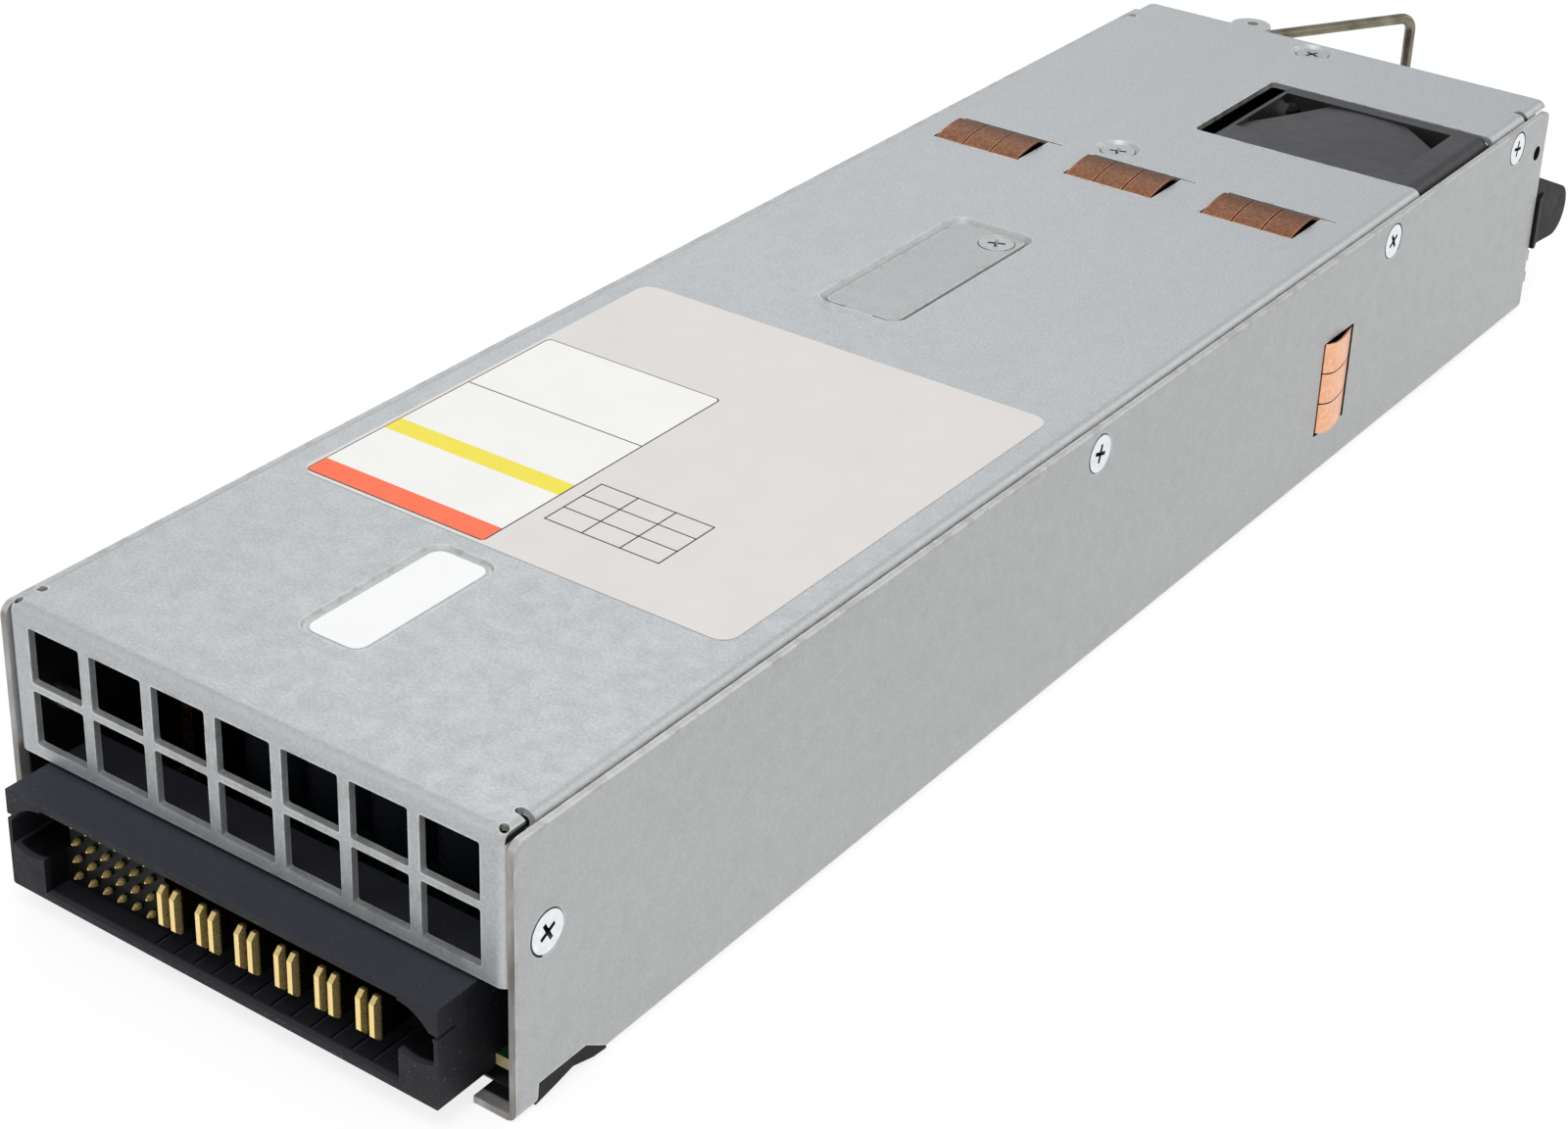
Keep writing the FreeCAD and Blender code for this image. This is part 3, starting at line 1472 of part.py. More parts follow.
def latch_slot():
    return box(arm_left - latch_slot_gap - latch_stroke, arm_right + latch_slot_gap,
               wall_length - sheet - past, wall_length + past,
               latch_bottom - latch_slot_gap, latch_top + latch_slot_gap)


def end_panel():
    half = cover_half - sheet - seam
    top = cover_under - seam
    plate = box(-half, half, wall_length - sheet, wall_length, sheet + seam, top)
    plate = round_edges(plate, bend - sheet + seam, Y_AXIS, lambda p: p.z > top - seam)
    flange = box(half - sheet, half, wall_length - panel_flange, wall_length, 2 * sheet, top - sheet)
    roof_top = cover_under - dimple_depth - seam
    roof = box(panel_roof_left, panel_roof_right, wall_length - panel_roof_depth, wall_length,
               roof_top - sheet, roof_top)
    body = round_edges(join([plate, roof] + both_sides(flange)), panel_bend, Z_AXIS,
                       lambda p: p.y > wall_length - seam and abs(p.x) > half - seam)
    width, height = inlet_body[:2]
    hole = inlet_outline(width + 2 * inlet_fit, height + 2 * inlet_fit, wall_length - sheet - past,
                         sheet + 2 * past)
    cuts = vent_pattern() + [hole, latch_slot()]
    cuts.append(rod(lamp_radius + screw_clearance, sheet + 2 * past, lamp_x, wall_length - sheet - past,
                    lamp_z, Y_AXIS))
    cuts += screw_tools(side_screw_places() + cover_screw_places())
    cuts.append(dimple_clearance(*cover_screws_at[-1]))
    cuts.append(key_hole(key_hole_radius + key_hole_play, half - past, cover_half))
    return join([body.cut(cuts)] + latch_ears())


def lamp():
    """Light pipe: a rod with a collar behind the panel and a domed end in front of it."""
    start = wall_length - lamp_length
    pipe = rod(lamp_radius, lamp_length, lamp_x, start, lamp_z, Y_AXIS)
    collar_start = wall_length - sheet - lamp_collar
    collar = rod(lamp_radius + lamp_collar, lamp_collar, lamp_x, collar_start, lamp_z, Y_AXIS)
    dome = Part.makeSphere(lamp_radius, Vector(lamp_x, wall_length, lamp_z))
    return join([pipe, collar, dome])


# ================================================================ release latch
def latch_ears():
    """Two ears folded in from the panel that hold the latch pin above and below the lever."""
    half = cover_half - sheet - seam
    ears = []
    for z in (latch_bottom - latch_ear_gap - sheet, latch_top + latch_ear_gap):
        ear = box(latch_x - latch_ear, half, latch_y - latch_ear, wall_length - sheet / 2, z, z + sheet)
        ear = round_edges(ear, latch_ear_corner, Z_AXIS, lambda p: p.x < latch_x and p.y < latch_y)
        ears.append(ear.cut(rod(latch_pin_radius, 3 * sheet, latch_x, latch_y, z - past)))
    return ears


def latch_pin():
    low = latch_bottom - latch_ear_gap - sheet - latch_pin_end
    high = latch_top + latch_ear_gap + sheet
    pin = rod(latch_pin_radius, high - low, latch_x, latch_y, low)
    head = rod(latch_pin_radius + latch_pin_head, latch_pin_head_height, latch_x, latch_y, high)
    return join([pin, head])


def latch_side_outline():
    """The pad seen from the side: nearly flat underside, large round nose, sloping back."""
    root = latch_y - latch_tail
    nose = Vector(0, wall_length + latch_tip - latch_nose_radius, latch_bottom + latch_nose_rise)
    back_top = Vector(0, wall_length + latch_slot_gap, latch_top)
    start = nose + tangent_offset(nose, back_top, -1)
    under = Vector(0, wall_length + latch_slot_gap, latch_bottom)
    finish = nose + tangent_offset(nose, under, 1)
    arc = Part.Arc(start, nose + Vector(0, latch_nose_radius, 0), finish).toShape()
    rest = Part.makePolygon([finish, under, Vector(0, root, latch_bottom), Vector(0, root, latch_top),
                             back_top, start])
    return Part.Face(Part.Wire([arc] + rest.Edges))


def tangent_offset(centre, point, side):
    """From a circle's centre to where the line through a point outside touches it; side 1 is below."""
    reach = (point - centre).Length
    toward = math.atan2(point.z - centre.z, point.y - centre.y)
    angle = toward + side * math.acos(latch_nose_radius / reach)
    return Vector(0, math.cos(angle), math.sin(angle)) * latch_nose_radius


def latch_lever():
    """Lever with an outside thumb pad, a wedge tooth beyond the side wall and a tail for the spring."""
    tail = latch_y - latch_tail
    inner = arm_right - latch_tail_cut
    pad_start = wall_length + latch_slot_gap
    pad_left = latch_x - latch_pad_left
    pad_right = half_width - latch_pad_side
    end = wall_length + latch_tip + past
    tooth_x = half_width + latch_tooth
    plan = [(arm_left, tail), (inner, tail), (inner, latch_y - latch_tail_ramp[0]),
            (arm_right, latch_y - latch_tail_ramp[1]), (arm_right, pad_start), (tooth_x, pad_start),
            (tooth_x, pad_start + latch_tooth_land),
            (pad_right, pad_start + latch_tooth_land + latch_tooth_ramp), (pad_right, end),
            (pad_left, end), (pad_left, pad_start), (arm_left, pad_start)]
    side = latch_side_outline().extrude(Vector(case_width, 0, 0))
    body = prism_z(plan, 0, case_height).common(side)
    tooth_waste = box(pad_right, tooth_x + past, pad_start - past, end,
                      latch_top - latch_tooth_drop, case_height)
    hole = rod(latch_pin_radius + shaft_clearance, case_height, latch_x, latch_y, 0)
    return body.cut([hole, tooth_waste]).removeSplitter()


def latch_spring():
    """Leaf spring on the panel's side flange that presses the lever's tail."""
    wall = cover_half - 2 * sheet - seam
    tail = arm_right - latch_tail_cut + spring_tip_gap
    start = wall_length - panel_flange + spring_sheet
    bend_y = latch_y - latch_tail - spring_run
    tip_y = latch_y - latch_tail + spring_overlap
    z = (latch_bottom + latch_top) / 2
    outline = [(wall, start), (wall, bend_y), (tail + spring_sheet, tip_y), (tail, tip_y),
               (tail, tip_y - spring_sheet), (wall - spring_sheet, bend_y), (wall - spring_sheet, start)]
    return prism_z(outline, z - spring_half_height, z + spring_half_height)


# ================================================================ wire bail
def bail():
    """Round wire: a pin in each ear, two arms and an upright grip, rounded where it turns."""
    swing = math.radians(bail_swing)
    origin = Vector(bail_x, bail_y, 0)
    grip = origin + Vector(math.sin(swing), math.cos(swing), 0) * bail_reach
    low = Vector(0, 0, bail_low)
    high = Vector(0, 0, bail_high)
    corners = [origin + Vector(0, 0, bail_end), origin + low, grip + low, grip + high, origin + high,
               origin + Vector(0, 0, case_height - bail_end)]
    return bent_wire(corners, [bail_elbow, bail_corner, bail_corner, bail_elbow], bail_wire / 2)


# ================================================================ the whole unit
def build():
    contacts_signal = signal_pins()
    contacts_power = power_blades()
    contacts = contacts_signal + contacts_power
    ring, ring_winding = wound_ring(toroid_x, toroid_y, 1.0, toroid_turns)
    choke, choke_winding = wound_ring(choke_x, choke_y, choke_scale, choke_turns)
    fuse_glass, fuse_caps = fuse()
    inductor_core, inductor_winding = output_inductor()
    primary = transistor_row(primary_sink_x, primary_sink_y, -1, primary_package_count)
    secondary = transistor_row(secondary_sink_x, secondary_sink_y, 1, secondary_package_count)
    return {
        "chassis_tray": tray(),
        "top_cover": top_cover(),
        "hatch_plate": hatch_plate(),
        "end_panel": end_panel(),
        "side_screws": screws(side_screw_places()),
        "cover_screws": screws(cover_screw_places() + hatch_screw_place()),
        "top_contact_fingers": top_fingers(),
        "side_contact_fingers": side_fingers(),
        "connector_housing": connector_housing(contacts),
        "signal_pins": group(contacts_signal),
        "power_blades": group(contacts_power),
        "main_board": main_board(contacts),
        "insulator_film": insulator(),
        "board_standoffs": standoffs(),
        "board_screws": board_screws(),
        "bulk_capacitors": bulk_capacitors(),
        "output_capacitors": output_capacitors(),
        "boost_choke_core": ring,
        "boost_choke_winding": ring_winding,
        "filter_choke_core": choke,
        "filter_choke_winding": choke_winding,
        "transformer_core": transformer_core(),
        "transformer_coil": transformer_coil(),
        "primary_heat_sink": heat_sink(primary_sink_x, primary_sink_y, 1),
        "secondary_heat_sink": heat_sink(secondary_sink_x, secondary_sink_y, -1),
        "primary_transistors": group(primary),
        "secondary_transistors": group(secondary),
        "film_capacitors": film_capacitors(),
        "bridge_rectifier": bridge_rectifier(),
        "fuse_glass": fuse_glass,
        "fuse_caps": fuse_caps,
        "output_inductor_core": inductor_core,
        "output_inductor_strap": inductor_winding,
        "bus_bars": bus_bars(),
        "control_board": control_board(),
        "control_chips": control_chips(),
        "fan_frame": fan_frame(),
        "fan_motor": fan_motor(),
        "fan_impeller": impeller(),
        "fan_shaft": fan_shaft(),
        "fan_lead": fan_lead(),
        "mains_inlet": inlet_housing(),
        "inlet_blades": group(inlet_blades()),
        "inlet_leads": inlet_leads(),
        "status_lamp": lamp(),
        "latch_lever": latch_lever(),
        "latch_pin": latch_pin(),
        "latch_spring": latch_spring(),
        "wire_bail": bail(),
    }


os.makedirs("parts", exist_ok=True)
for node, shape in build().items():
    shape.translate(Vector(0, -wall_length / 2, 0))
    shape.exportStep(os.path.join("parts", node + ".step"))
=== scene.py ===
import bmesh
import bpy
import math
from mathutils import Matrix, Quaternion, Vector

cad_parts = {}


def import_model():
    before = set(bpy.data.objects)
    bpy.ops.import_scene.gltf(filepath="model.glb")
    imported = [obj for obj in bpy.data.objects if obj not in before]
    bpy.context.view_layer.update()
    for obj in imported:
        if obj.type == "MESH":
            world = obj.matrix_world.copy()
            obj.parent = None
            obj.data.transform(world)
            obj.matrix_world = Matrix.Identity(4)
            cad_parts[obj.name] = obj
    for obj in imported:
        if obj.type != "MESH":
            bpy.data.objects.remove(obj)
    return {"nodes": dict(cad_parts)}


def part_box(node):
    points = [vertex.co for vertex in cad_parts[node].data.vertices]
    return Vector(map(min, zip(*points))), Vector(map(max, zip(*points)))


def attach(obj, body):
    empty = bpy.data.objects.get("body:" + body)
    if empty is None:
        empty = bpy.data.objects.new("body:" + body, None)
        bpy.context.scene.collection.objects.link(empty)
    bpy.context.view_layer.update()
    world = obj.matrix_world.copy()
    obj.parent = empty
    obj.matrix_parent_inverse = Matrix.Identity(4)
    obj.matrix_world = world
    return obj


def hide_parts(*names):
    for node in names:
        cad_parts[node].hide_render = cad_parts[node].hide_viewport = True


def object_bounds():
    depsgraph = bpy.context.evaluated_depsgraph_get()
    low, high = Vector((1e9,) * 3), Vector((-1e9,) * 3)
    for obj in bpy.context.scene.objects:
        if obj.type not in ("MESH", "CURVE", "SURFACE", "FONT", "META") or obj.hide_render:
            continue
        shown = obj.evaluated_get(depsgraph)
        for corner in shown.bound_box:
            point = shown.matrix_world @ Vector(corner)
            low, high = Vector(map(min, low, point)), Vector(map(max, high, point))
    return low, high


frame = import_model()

CAD_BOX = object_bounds()
MM = 0.001
X_AXIS, Z_AXIS = Vector((1, 0, 0)), Vector((0, 0, 1))

# The case, from the boxes of its two folded sheets.
TRAY_LOW, TRAY_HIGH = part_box("chassis_tray")
FRONT = TRAY_LOW.y
MIDDLE = TRAY_HIGH.z / 2
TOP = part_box("top_cover")[1].z
SHADE_BELOW = TOP - 1.6 * MM              # the cover's inner face is painted black as shade below this level
SHADE_FROM = FRONT + 1.6 * MM      # the painted shade starts behind the front sheet
SLIT_FLOOR = TOP - 1.9 * MM         # the cut face under the lip at each front corner of the cover is painted black as shade, for the slit there
SLIT_LIP = TOP - 0.8 * MM
SLIT_FROM = FRONT - 1.0 * MM
SLIT_TO = FRONT + 4.8 * MM


# ================================================================ shader helpers
def new_material(name, metallic=0.0, **constants):
    """Material with a Principled shader; constants go straight onto its sockets."""
    material = bpy.data.materials.new(name)
    material.use_nodes = True
    tree = material.node_tree
    surface = tree.nodes["Principled BSDF"]
    surface.inputs["Metallic"].default_value = metallic
    for socket, value in constants.items():
        surface.inputs[socket.replace("_", " ")].default_value = value
    return material, tree, surface


def place(tree):
    """Position on the object in metres, the same in every pose."""
    return tree.nodes.new("ShaderNodeTexCoord").outputs["Object"]


def noise(tree, scale, detail=3.0, stretch=(1, 1, 1), rough=0.5):
    mapping = tree.nodes.new("ShaderNodeMapping")
    mapping.inputs["Scale"].default_value = stretch
    tree.links.new(place(tree), mapping.inputs["Vector"])
    texture = tree.nodes.new("ShaderNodeTexNoise")
    texture.inputs["Scale"].default_value = scale
    texture.inputs["Detail"].default_value = detail
    texture.inputs["Roughness"].default_value = rough
    tree.links.new(mapping.outputs["Vector"], texture.inputs["Vector"])
    return texture.outputs["Fac"]


def remap(tree, value, low, high, start=0.3, end=0.7):
    """Value from start..end spread over low..high."""
    node = tree.nodes.new("ShaderNodeMapRange")
    node.inputs["From Min"].default_value = start
    node.inputs["From Max"].default_value = end
    node.inputs["To Min"].default_value = low
    node.inputs["To Max"].default_value = high
    tree.links.new(value, node.inputs["Value"])
    return node.outputs["Result"]


def mix(tree, factor, first, second, mode="MIX"):
    """Colour mix; first and second are colours or sockets, factor a number or a socket."""
    node = tree.nodes.new("ShaderNodeMix")
    node.data_type = "RGBA"
    node.blend_type = mode
    for value, socket in ((factor, node.inputs["Factor"]), (first, node.inputs[6]), (second, node.inputs[7])):
        if isinstance(value, bpy.types.NodeSocket):
            tree.links.new(value, socket)
        elif isinstance(value, (int, float)):
            socket.default_value = value
        else:
            socket.default_value = (*value, 1.0)
    return node.outputs[2]


def math_node(tree, operation, first, second=None):
    node = tree.nodes.new("ShaderNodeMath")
    node.operation = operation
    for value, socket in ((first, node.inputs[0]), (second, node.inputs[1])):
        if isinstance(value, bpy.types.NodeSocket):
            tree.links.new(value, socket)
        elif value is not None:
            socket.default_value = value
    return node.outputs[0]


def bump(tree, surface, height, distance, strength=1.0):
    node = tree.nodes.new("ShaderNodeBump")
    node.inputs["Distance"].default_value = distance
    node.inputs["Strength"].default_value = strength
    tree.links.new(height, node.inputs["Height"])
    tree.links.new(node.outputs["Normal"], surface.inputs["Normal"])


def edges(tree, radius, sharp=0.08):
    """1 on the outer edges of a piece and 0 on its flat faces."""
    soft = tree.nodes.new("ShaderNodeBevel")
    soft.samples = 6
    soft.inputs["Radius"].default_value = radius
    geometry = tree.nodes.new("ShaderNodeNewGeometry")
    dot = tree.nodes.new("ShaderNodeVectorMath")
    dot.operation = "DOT_PRODUCT"
    tree.links.new(soft.outputs["Normal"], dot.inputs[0])
    tree.links.new(geometry.outputs["Normal"], dot.inputs[1])
    return remap(tree, math_node(tree, "SUBTRACT", 1.0, dot.outputs["Value"]), 0.0, 1.0, 0.0, sharp)


# ================================================================ masks
def normal(tree):
    """Normal of the flat face, before any bump."""
    return tree.nodes.new("ShaderNodeNewGeometry").outputs["True Normal"]


def parts(tree, vector):
    """X, Y and Z of a vector, as outputs of one node."""
    split = tree.nodes.new("ShaderNodeSeparateXYZ")
    tree.links.new(vector, split.inputs[0])
    return split.outputs


def facing(tree, axis):
    """1 on the faces square to one axis, 0 elsewhere."""
    along = math_node(tree, "ABSOLUTE", parts(tree, normal(tree))[axis])
    return remap(tree, along, 0.0, 1.0, 0.85, 0.97)


def times(tree, first, second):
    return math_node(tree, "MULTIPLY", first, second)


def inverse(tree, value):
    return math_node(tree, "SUBTRACT", 1.0, value)


def above(tree, axis, level, blend=0.2 * MM):
    """1 where one coordinate, in metres, is past a level."""
    return remap(tree, parts(tree, place(tree))[axis], 0.0, 1.0, level - blend, level + blend)


def band(tree, axis, low, high):
    """1 between two values of one coordinate."""
    return times(tree, above(tree, axis, low), inverse(tree, above(tree, axis, high)))


def painted_inner_shade(tree):
    """1 on the faces that look into the case, which are painted black as shade."""
    inward = tree.nodes.new("ShaderNodeVectorMath")
    inward.operation = "DOT_PRODUCT"
    centred = tree.nodes.new("ShaderNodeVectorMath")
    centred.operation = "SUBTRACT"
    centred.inputs[1].default_value = (0, 0, MIDDLE)
    tree.links.new(place(tree), centred.inputs[0])
    tree.links.new(centred.outputs[0], inward.inputs[0])
    tree.links.new(normal(tree), inward.inputs[1])
    facing_in = remap(tree, inward.outputs["Value"], 1.0, 0.0, -0.5 * MM, 0.0)
    deep = times(tree, above(tree, "Y", SHADE_FROM), inverse(tree, above(tree, "Z", SHADE_BELOW)))
    ceiling = remap(tree, parts(tree, normal(tree))["Z"], 1.0, 0.0, -0.6, -0.4)
    return times(tree, facing_in, math_node(tree, "MAXIMUM", deep, ceiling))


def folds(tree):
    """1 on bends and bevels, whose faces are square to no axis."""
    upright = tree.nodes.new("ShaderNodeVectorMath")
    upright.operation = "ABSOLUTE"
    tree.links.new(normal(tree), upright.inputs[0])
    along = parts(tree, upright.outputs[0])
    widest = math_node(tree, "MAXIMUM", math_node(tree, "MAXIMUM", along["X"], along["Y"]), along["Z"])
    return remap(tree, widest, 1.0, 0.0, 0.80, 0.985)


def hollow(tree, node, margin):
    """1 inside a CAD node's box by more than a margin, as in a mouth or pocket."""
    low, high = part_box(node)
    inside = 1.0
    for axis, name in enumerate("XYZ"):
        inside = times(tree, inside, above(tree, name, low[axis] + margin))
        inside = times(tree, inside, inverse(tree, above(tree, name, high[axis] - margin)))
    return inside


# ================================================================ finishes
# Black painted as shade on the faces inside the case and under the cover's corner lips.
INNER_SHADE_BLACK = (0.022, 0.022, 0.024)
# Lighter edges, part wear and part painted highlight; lighter folds, a painted highlight.
EDGE_WEAR_AND_HIGHLIGHT = (0.78, 0.78, 0.75)
FOLD_HIGHLIGHT = (0.76, 0.76, 0.73)
RUBBED = (0.20, 0.165, 0.135)
SHEAR_DARK = (0.22, 0.20, 0.185)
SHEAR_LIGHT = (0.46, 0.455, 0.44)
ROLLING = (0.62, 0.63, 0.63)
DUST = (0.15, 0.15, 0.16)
GRAIN_PER_METRE = 2300


def scaled(colour, factor, extra=0.0):
    """Colour times a factor, kept below white."""
    return [min(1.0, channel * factor + extra) for channel in colour]


def zinc_sheet(name, colour, speckle, rough=(0.44, 0.56), cut_axis="Y", cut_above=-1.0, edge_wear_and_highlight=0.45):
    """Zinc-plated sheet: bright speckle, faint clouds, rolling lines, rubbed marks, edges lighter from wear and a
    painted highlight, folds lighter as a painted highlight, and faces inside the case painted black as shade.

    Faces square to cut_axis, above the level cut_above, are sheared edges of the sheet.
    """
    material, tree, surface = new_material(name, metallic=0.62)
    clouds = remap(tree, noise(tree, 30, 4), 0.0, 1.0)
    grain = remap(tree, noise(tree, GRAIN_PER_METRE, 1.5), 0.0, 1.0, 0.38, 0.66)
    lines = remap(tree, noise(tree, 300, 3, (1, 0.05, 0.3)), 0.0, 1.0)
    base = mix(tree, clouds, [c * 0.98 for c in colour], colour)
    base = mix(tree, times(tree, grain, 0.14 * speckle), base, (1.0, 1.0, 1.0), "SCREEN")
    base = mix(tree, times(tree, lines, 0.06), base, ROLLING, "MULTIPLY")
    # Painted highlight on the outer edges, which are also worn, and on the folds.
    base = mix(tree, times(tree, edges(tree, 0.6 * MM), edge_wear_and_highlight), base, EDGE_WEAR_AND_HIGHLIGHT)
    base = mix(tree, times(tree, folds(tree), 0.6 * edge_wear_and_highlight), base, FOLD_HIGHLIGHT)
    rubbed = remap(tree, noise(tree, 330, 5, (1, 1, 1), 0.6), 0.0, 1.0, 0.50, 0.60)
    near_edge = edges(tree, 1.6 * MM, 0.22)
    base = mix(tree, times(tree, times(tree, rubbed, near_edge), 0.42), base, RUBBED)
    streaks = remap(tree, noise(tree, 500, 3, (1, 1, 0.25)), 0.0, 1.0)
    sheared = mix(tree, streaks, SHEAR_DARK, SHEAR_LIGHT)
    base = mix(tree, times(tree, facing(tree, cut_axis), above(tree, "Z", cut_above)), base, sheared)
    # Painted shade: black on the faces inside the case and, for the cover, on the cut face under the lip at each front
    # corner.
    painted_shade = painted_inner_shade(tree)
    if cut_axis == "X":
        # Painted shade: the cut face under the lip at each front corner of the cover.
        slit_painted_shade = times(tree, facing(tree, "X"), band(tree, "Z", SLIT_FLOOR, SLIT_LIP))
        slit_painted_shade = times(tree, slit_painted_shade, band(tree, "Y", SLIT_FROM, SLIT_TO))
        painted_shade = math_node(tree, "MAXIMUM", painted_shade, slit_painted_shade)
    tree.links.new(mix(tree, painted_shade, base, INNER_SHADE_BLACK), surface.inputs["Base Color"])
    tree.links.new(remap(tree, noise(tree, 420, 3), *rough), surface.inputs["Roughness"])
    height = mix(tree, 0.5, noise(tree, GRAIN_PER_METRE, 1.5), noise(tree, 700, 2))
    bump(tree, surface, height, 0.02 * MM, 0.5)
    return material


def plated(name, colour, shade, rough=(0.2, 0.35), scale=900, rim=1.3, edge_wear_and_highlight=0.2 * MM):
    """Plated or bare metal of small parts: slight tarnish and fine scratches, brighter at the edges as a painted
    highlight.
    """
    material, tree, surface = new_material(name, metallic=1.0)
    patches = remap(tree, noise(tree, scale, 4), 0.0, 1.0)
    base = mix(tree, patches, shade, colour)
    # Painted highlight: the edges turn rim times as light.
    base = mix(tree, times(tree, edges(tree, edge_wear_and_highlight), 0.5), base, scaled(colour, rim))
    tree.links.new(base, surface.inputs["Base Color"])
    tree.links.new(remap(tree, noise(tree, scale * 2.2, 3), *rough), surface.inputs["Roughness"])
    bump(tree, surface, noise(tree, scale * 3, 2), 0.01 * MM, 0.4)
    return material


def gilded(name, shank, tip, end):
    """Contacts with a bright gold end, from one coordinate along Y to the tip, on a shank painted near black as shade.
    """
    material, tree, surface = new_material(name, metallic=0.7)
    patches = remap(tree, noise(tree, 900, 4), 0.0, 1.0)
    # Painted shade: the shank colour, before the gold end.
    base = mix(tree, above(tree, "Y", end), tip, shank)
    tarnished = mix(tree, 0.975, (0, 0, 0), base)
    tree.links.new(mix(tree, patches, tarnished, base), surface.inputs["Base Color"])
    tree.links.new(remap(tree, noise(tree, 1900, 3), 0.22, 0.34), surface.inputs["Roughness"])
    bump(tree, surface, noise(tree, 2600, 2), 0.01 * MM, 0.4)
    return material


def moulded(name, colour, rough=(0.38, 0.55), grain=1600, depth=0.02 * MM,
            specular=0.5, dust_and_top_light=0.0, top_dusting_and_light_gain=2.6, painted_shade=None):
    """Moulded plastic: eroded texture, slight colour drift, polished edges painted lighter as a highlight, and pale
    dusting in specks.

    Faces that look up turn lighter by a given factor, partly from dusting and partly as painted light; the inside of
    the named CAD node is painted dark as shade.
    """
    material, tree, surface = new_material(name, Specular_IOR_Level=specular)
    drift = remap(tree, noise(tree, 60, 3), 0.0, 1.0)
    base = mix(tree, drift, [c * 0.85 for c in colour], scaled(colour, 1.12))
    # Lighter edges: part polish, part painted highlight.
    base = mix(tree, times(tree, edges(tree, 0.25 * MM), 0.5), base, scaled(colour, 1.6, 0.01))
    if dust_and_top_light:
        specks = remap(tree, noise(tree, 2600, 2), 0.0, dust_and_top_light, 0.66, 0.74)
        base = mix(tree, specks, base, DUST)
        # Lighter tops: partly dusting, partly painted light.
        dusty_lit_tops = remap(tree, parts(tree, normal(tree))["Z"], 0.0, dust_and_top_light, 0.5, 0.9)
        base = mix(tree, dusty_lit_tops, base, [c * top_dusting_and_light_gain for c in colour])
    # Painted shade: the inside of the named node turns dark.
    if painted_shade:
        base = mix(tree, hollow(tree, painted_shade, 0.9 * MM), base, [c * 0.22 for c in colour])
    tree.links.new(base, surface.inputs["Base Color"])
    tree.links.new(remap(tree, noise(tree, grain / 4, 3), *rough), surface.inputs["Roughness"])
    bump(tree, surface, noise(tree, grain, 2), depth, 0.5)
    return material


def printed_film(name, colour, rough=(0.4, 0.5)):
    """Label stock: matt polyester with faint mottling and a soft orange-peel."""
    material, tree, surface = new_material(name, Specular_IOR_Level=0.4)
    mottle = remap(tree, noise(tree, 120, 4), 0.0, 1.0)
    tree.links.new(mix(tree, mottle, [c * 0.97 for c in colour], colour), surface.inputs["Base Color"])
    tree.links.new(remap(tree, noise(tree, 300, 2), *rough), surface.inputs["Roughness"])
    bump(tree, surface, noise(tree, 1400, 2), 0.01 * MM, 0.3)
    return material


MASK_GREEN = (0.006, 0.035, 0.018)
TRACE_GREEN = (0.016, 0.085, 0.042)
LAMINATE = (0.42, 0.33, 0.15)
LAMINATE_LIGHT = (0.55, 0.45, 0.24)


def circuit_board(name):
    """Green solder mask over traces, with the tan laminate showing at the edges."""
    material, tree, surface = new_material(name, Specular_IOR_Level=0.5)
    upright = math_node(tree, "ABSOLUTE", parts(tree, normal(tree))["Z"])
    side = remap(tree, upright, 1.0, 0.0, 0.4, 0.6)
    bricks = tree.nodes.new("ShaderNodeTexBrick")
    bricks.inputs["Scale"].default_value = 160
    bricks.inputs["Mortar Size"].default_value = 0.06
    tree.links.new(place(tree), bricks.inputs["Vector"])
    mask = mix(tree, times(tree, bricks.outputs["Fac"], 0.45), MASK_GREEN, TRACE_GREEN)
    weave = mix(tree, remap(tree, noise(tree, 900, 2), 0.0, 1.0), LAMINATE, LAMINATE_LIGHT)
    tree.links.new(mix(tree, side, mask, weave), surface.inputs["Base Color"])
    tree.links.new(remap(tree, noise(tree, 500, 2), 0.28, 0.42), surface.inputs["Roughness"])
    bump(tree, surface, bricks.outputs["Fac"], 0.03 * MM, 0.5)
    return material


def clear_piece(name, colour, rough):
    """Clear or smoky moulding or glass."""
    material, tree, surface = new_material(name, Transmission_Weight=0.85, IOR=1.45)
    tint = mix(tree, remap(tree, noise(tree, 500, 2), 0.0, 1.0), colour, scaled(colour, 1.08))
    tree.links.new(tint, surface.inputs["Base Color"])
    tree.links.new(remap(tree, noise(tree, 800, 2), rough, rough + 0.1), surface.inputs["Roughness"])
    return material


def paint(material, *nodes):
    for name in nodes:
        mesh = frame["nodes"][name].data
        mesh.materials.clear()
        mesh.materials.append(material)


COVER_CUT = CAD_BOX[0].z + 37.6 * MM        # sheared edges of the cover show above this level
COVER = zinc_sheet("cover_zinc", (0.455, 0.476, 0.488), 1.0, cut_axis="X", cut_above=COVER_CUT, edge_wear_and_highlight=0.6)
HATCH = zinc_sheet("hatch_zinc", (0.42, 0.44, 0.44), 0.7)
WALL = zinc_sheet("wall_zinc", (0.465, 0.471, 0.474), 0.6)
PANEL = zinc_sheet("panel_zinc", (0.43, 0.435, 0.435), 0.6, cut_axis="X")
BRIGHT = plated("bright_zinc", (0.88, 0.90, 0.93), (0.76, 0.78, 0.81), (0.30, 0.42))
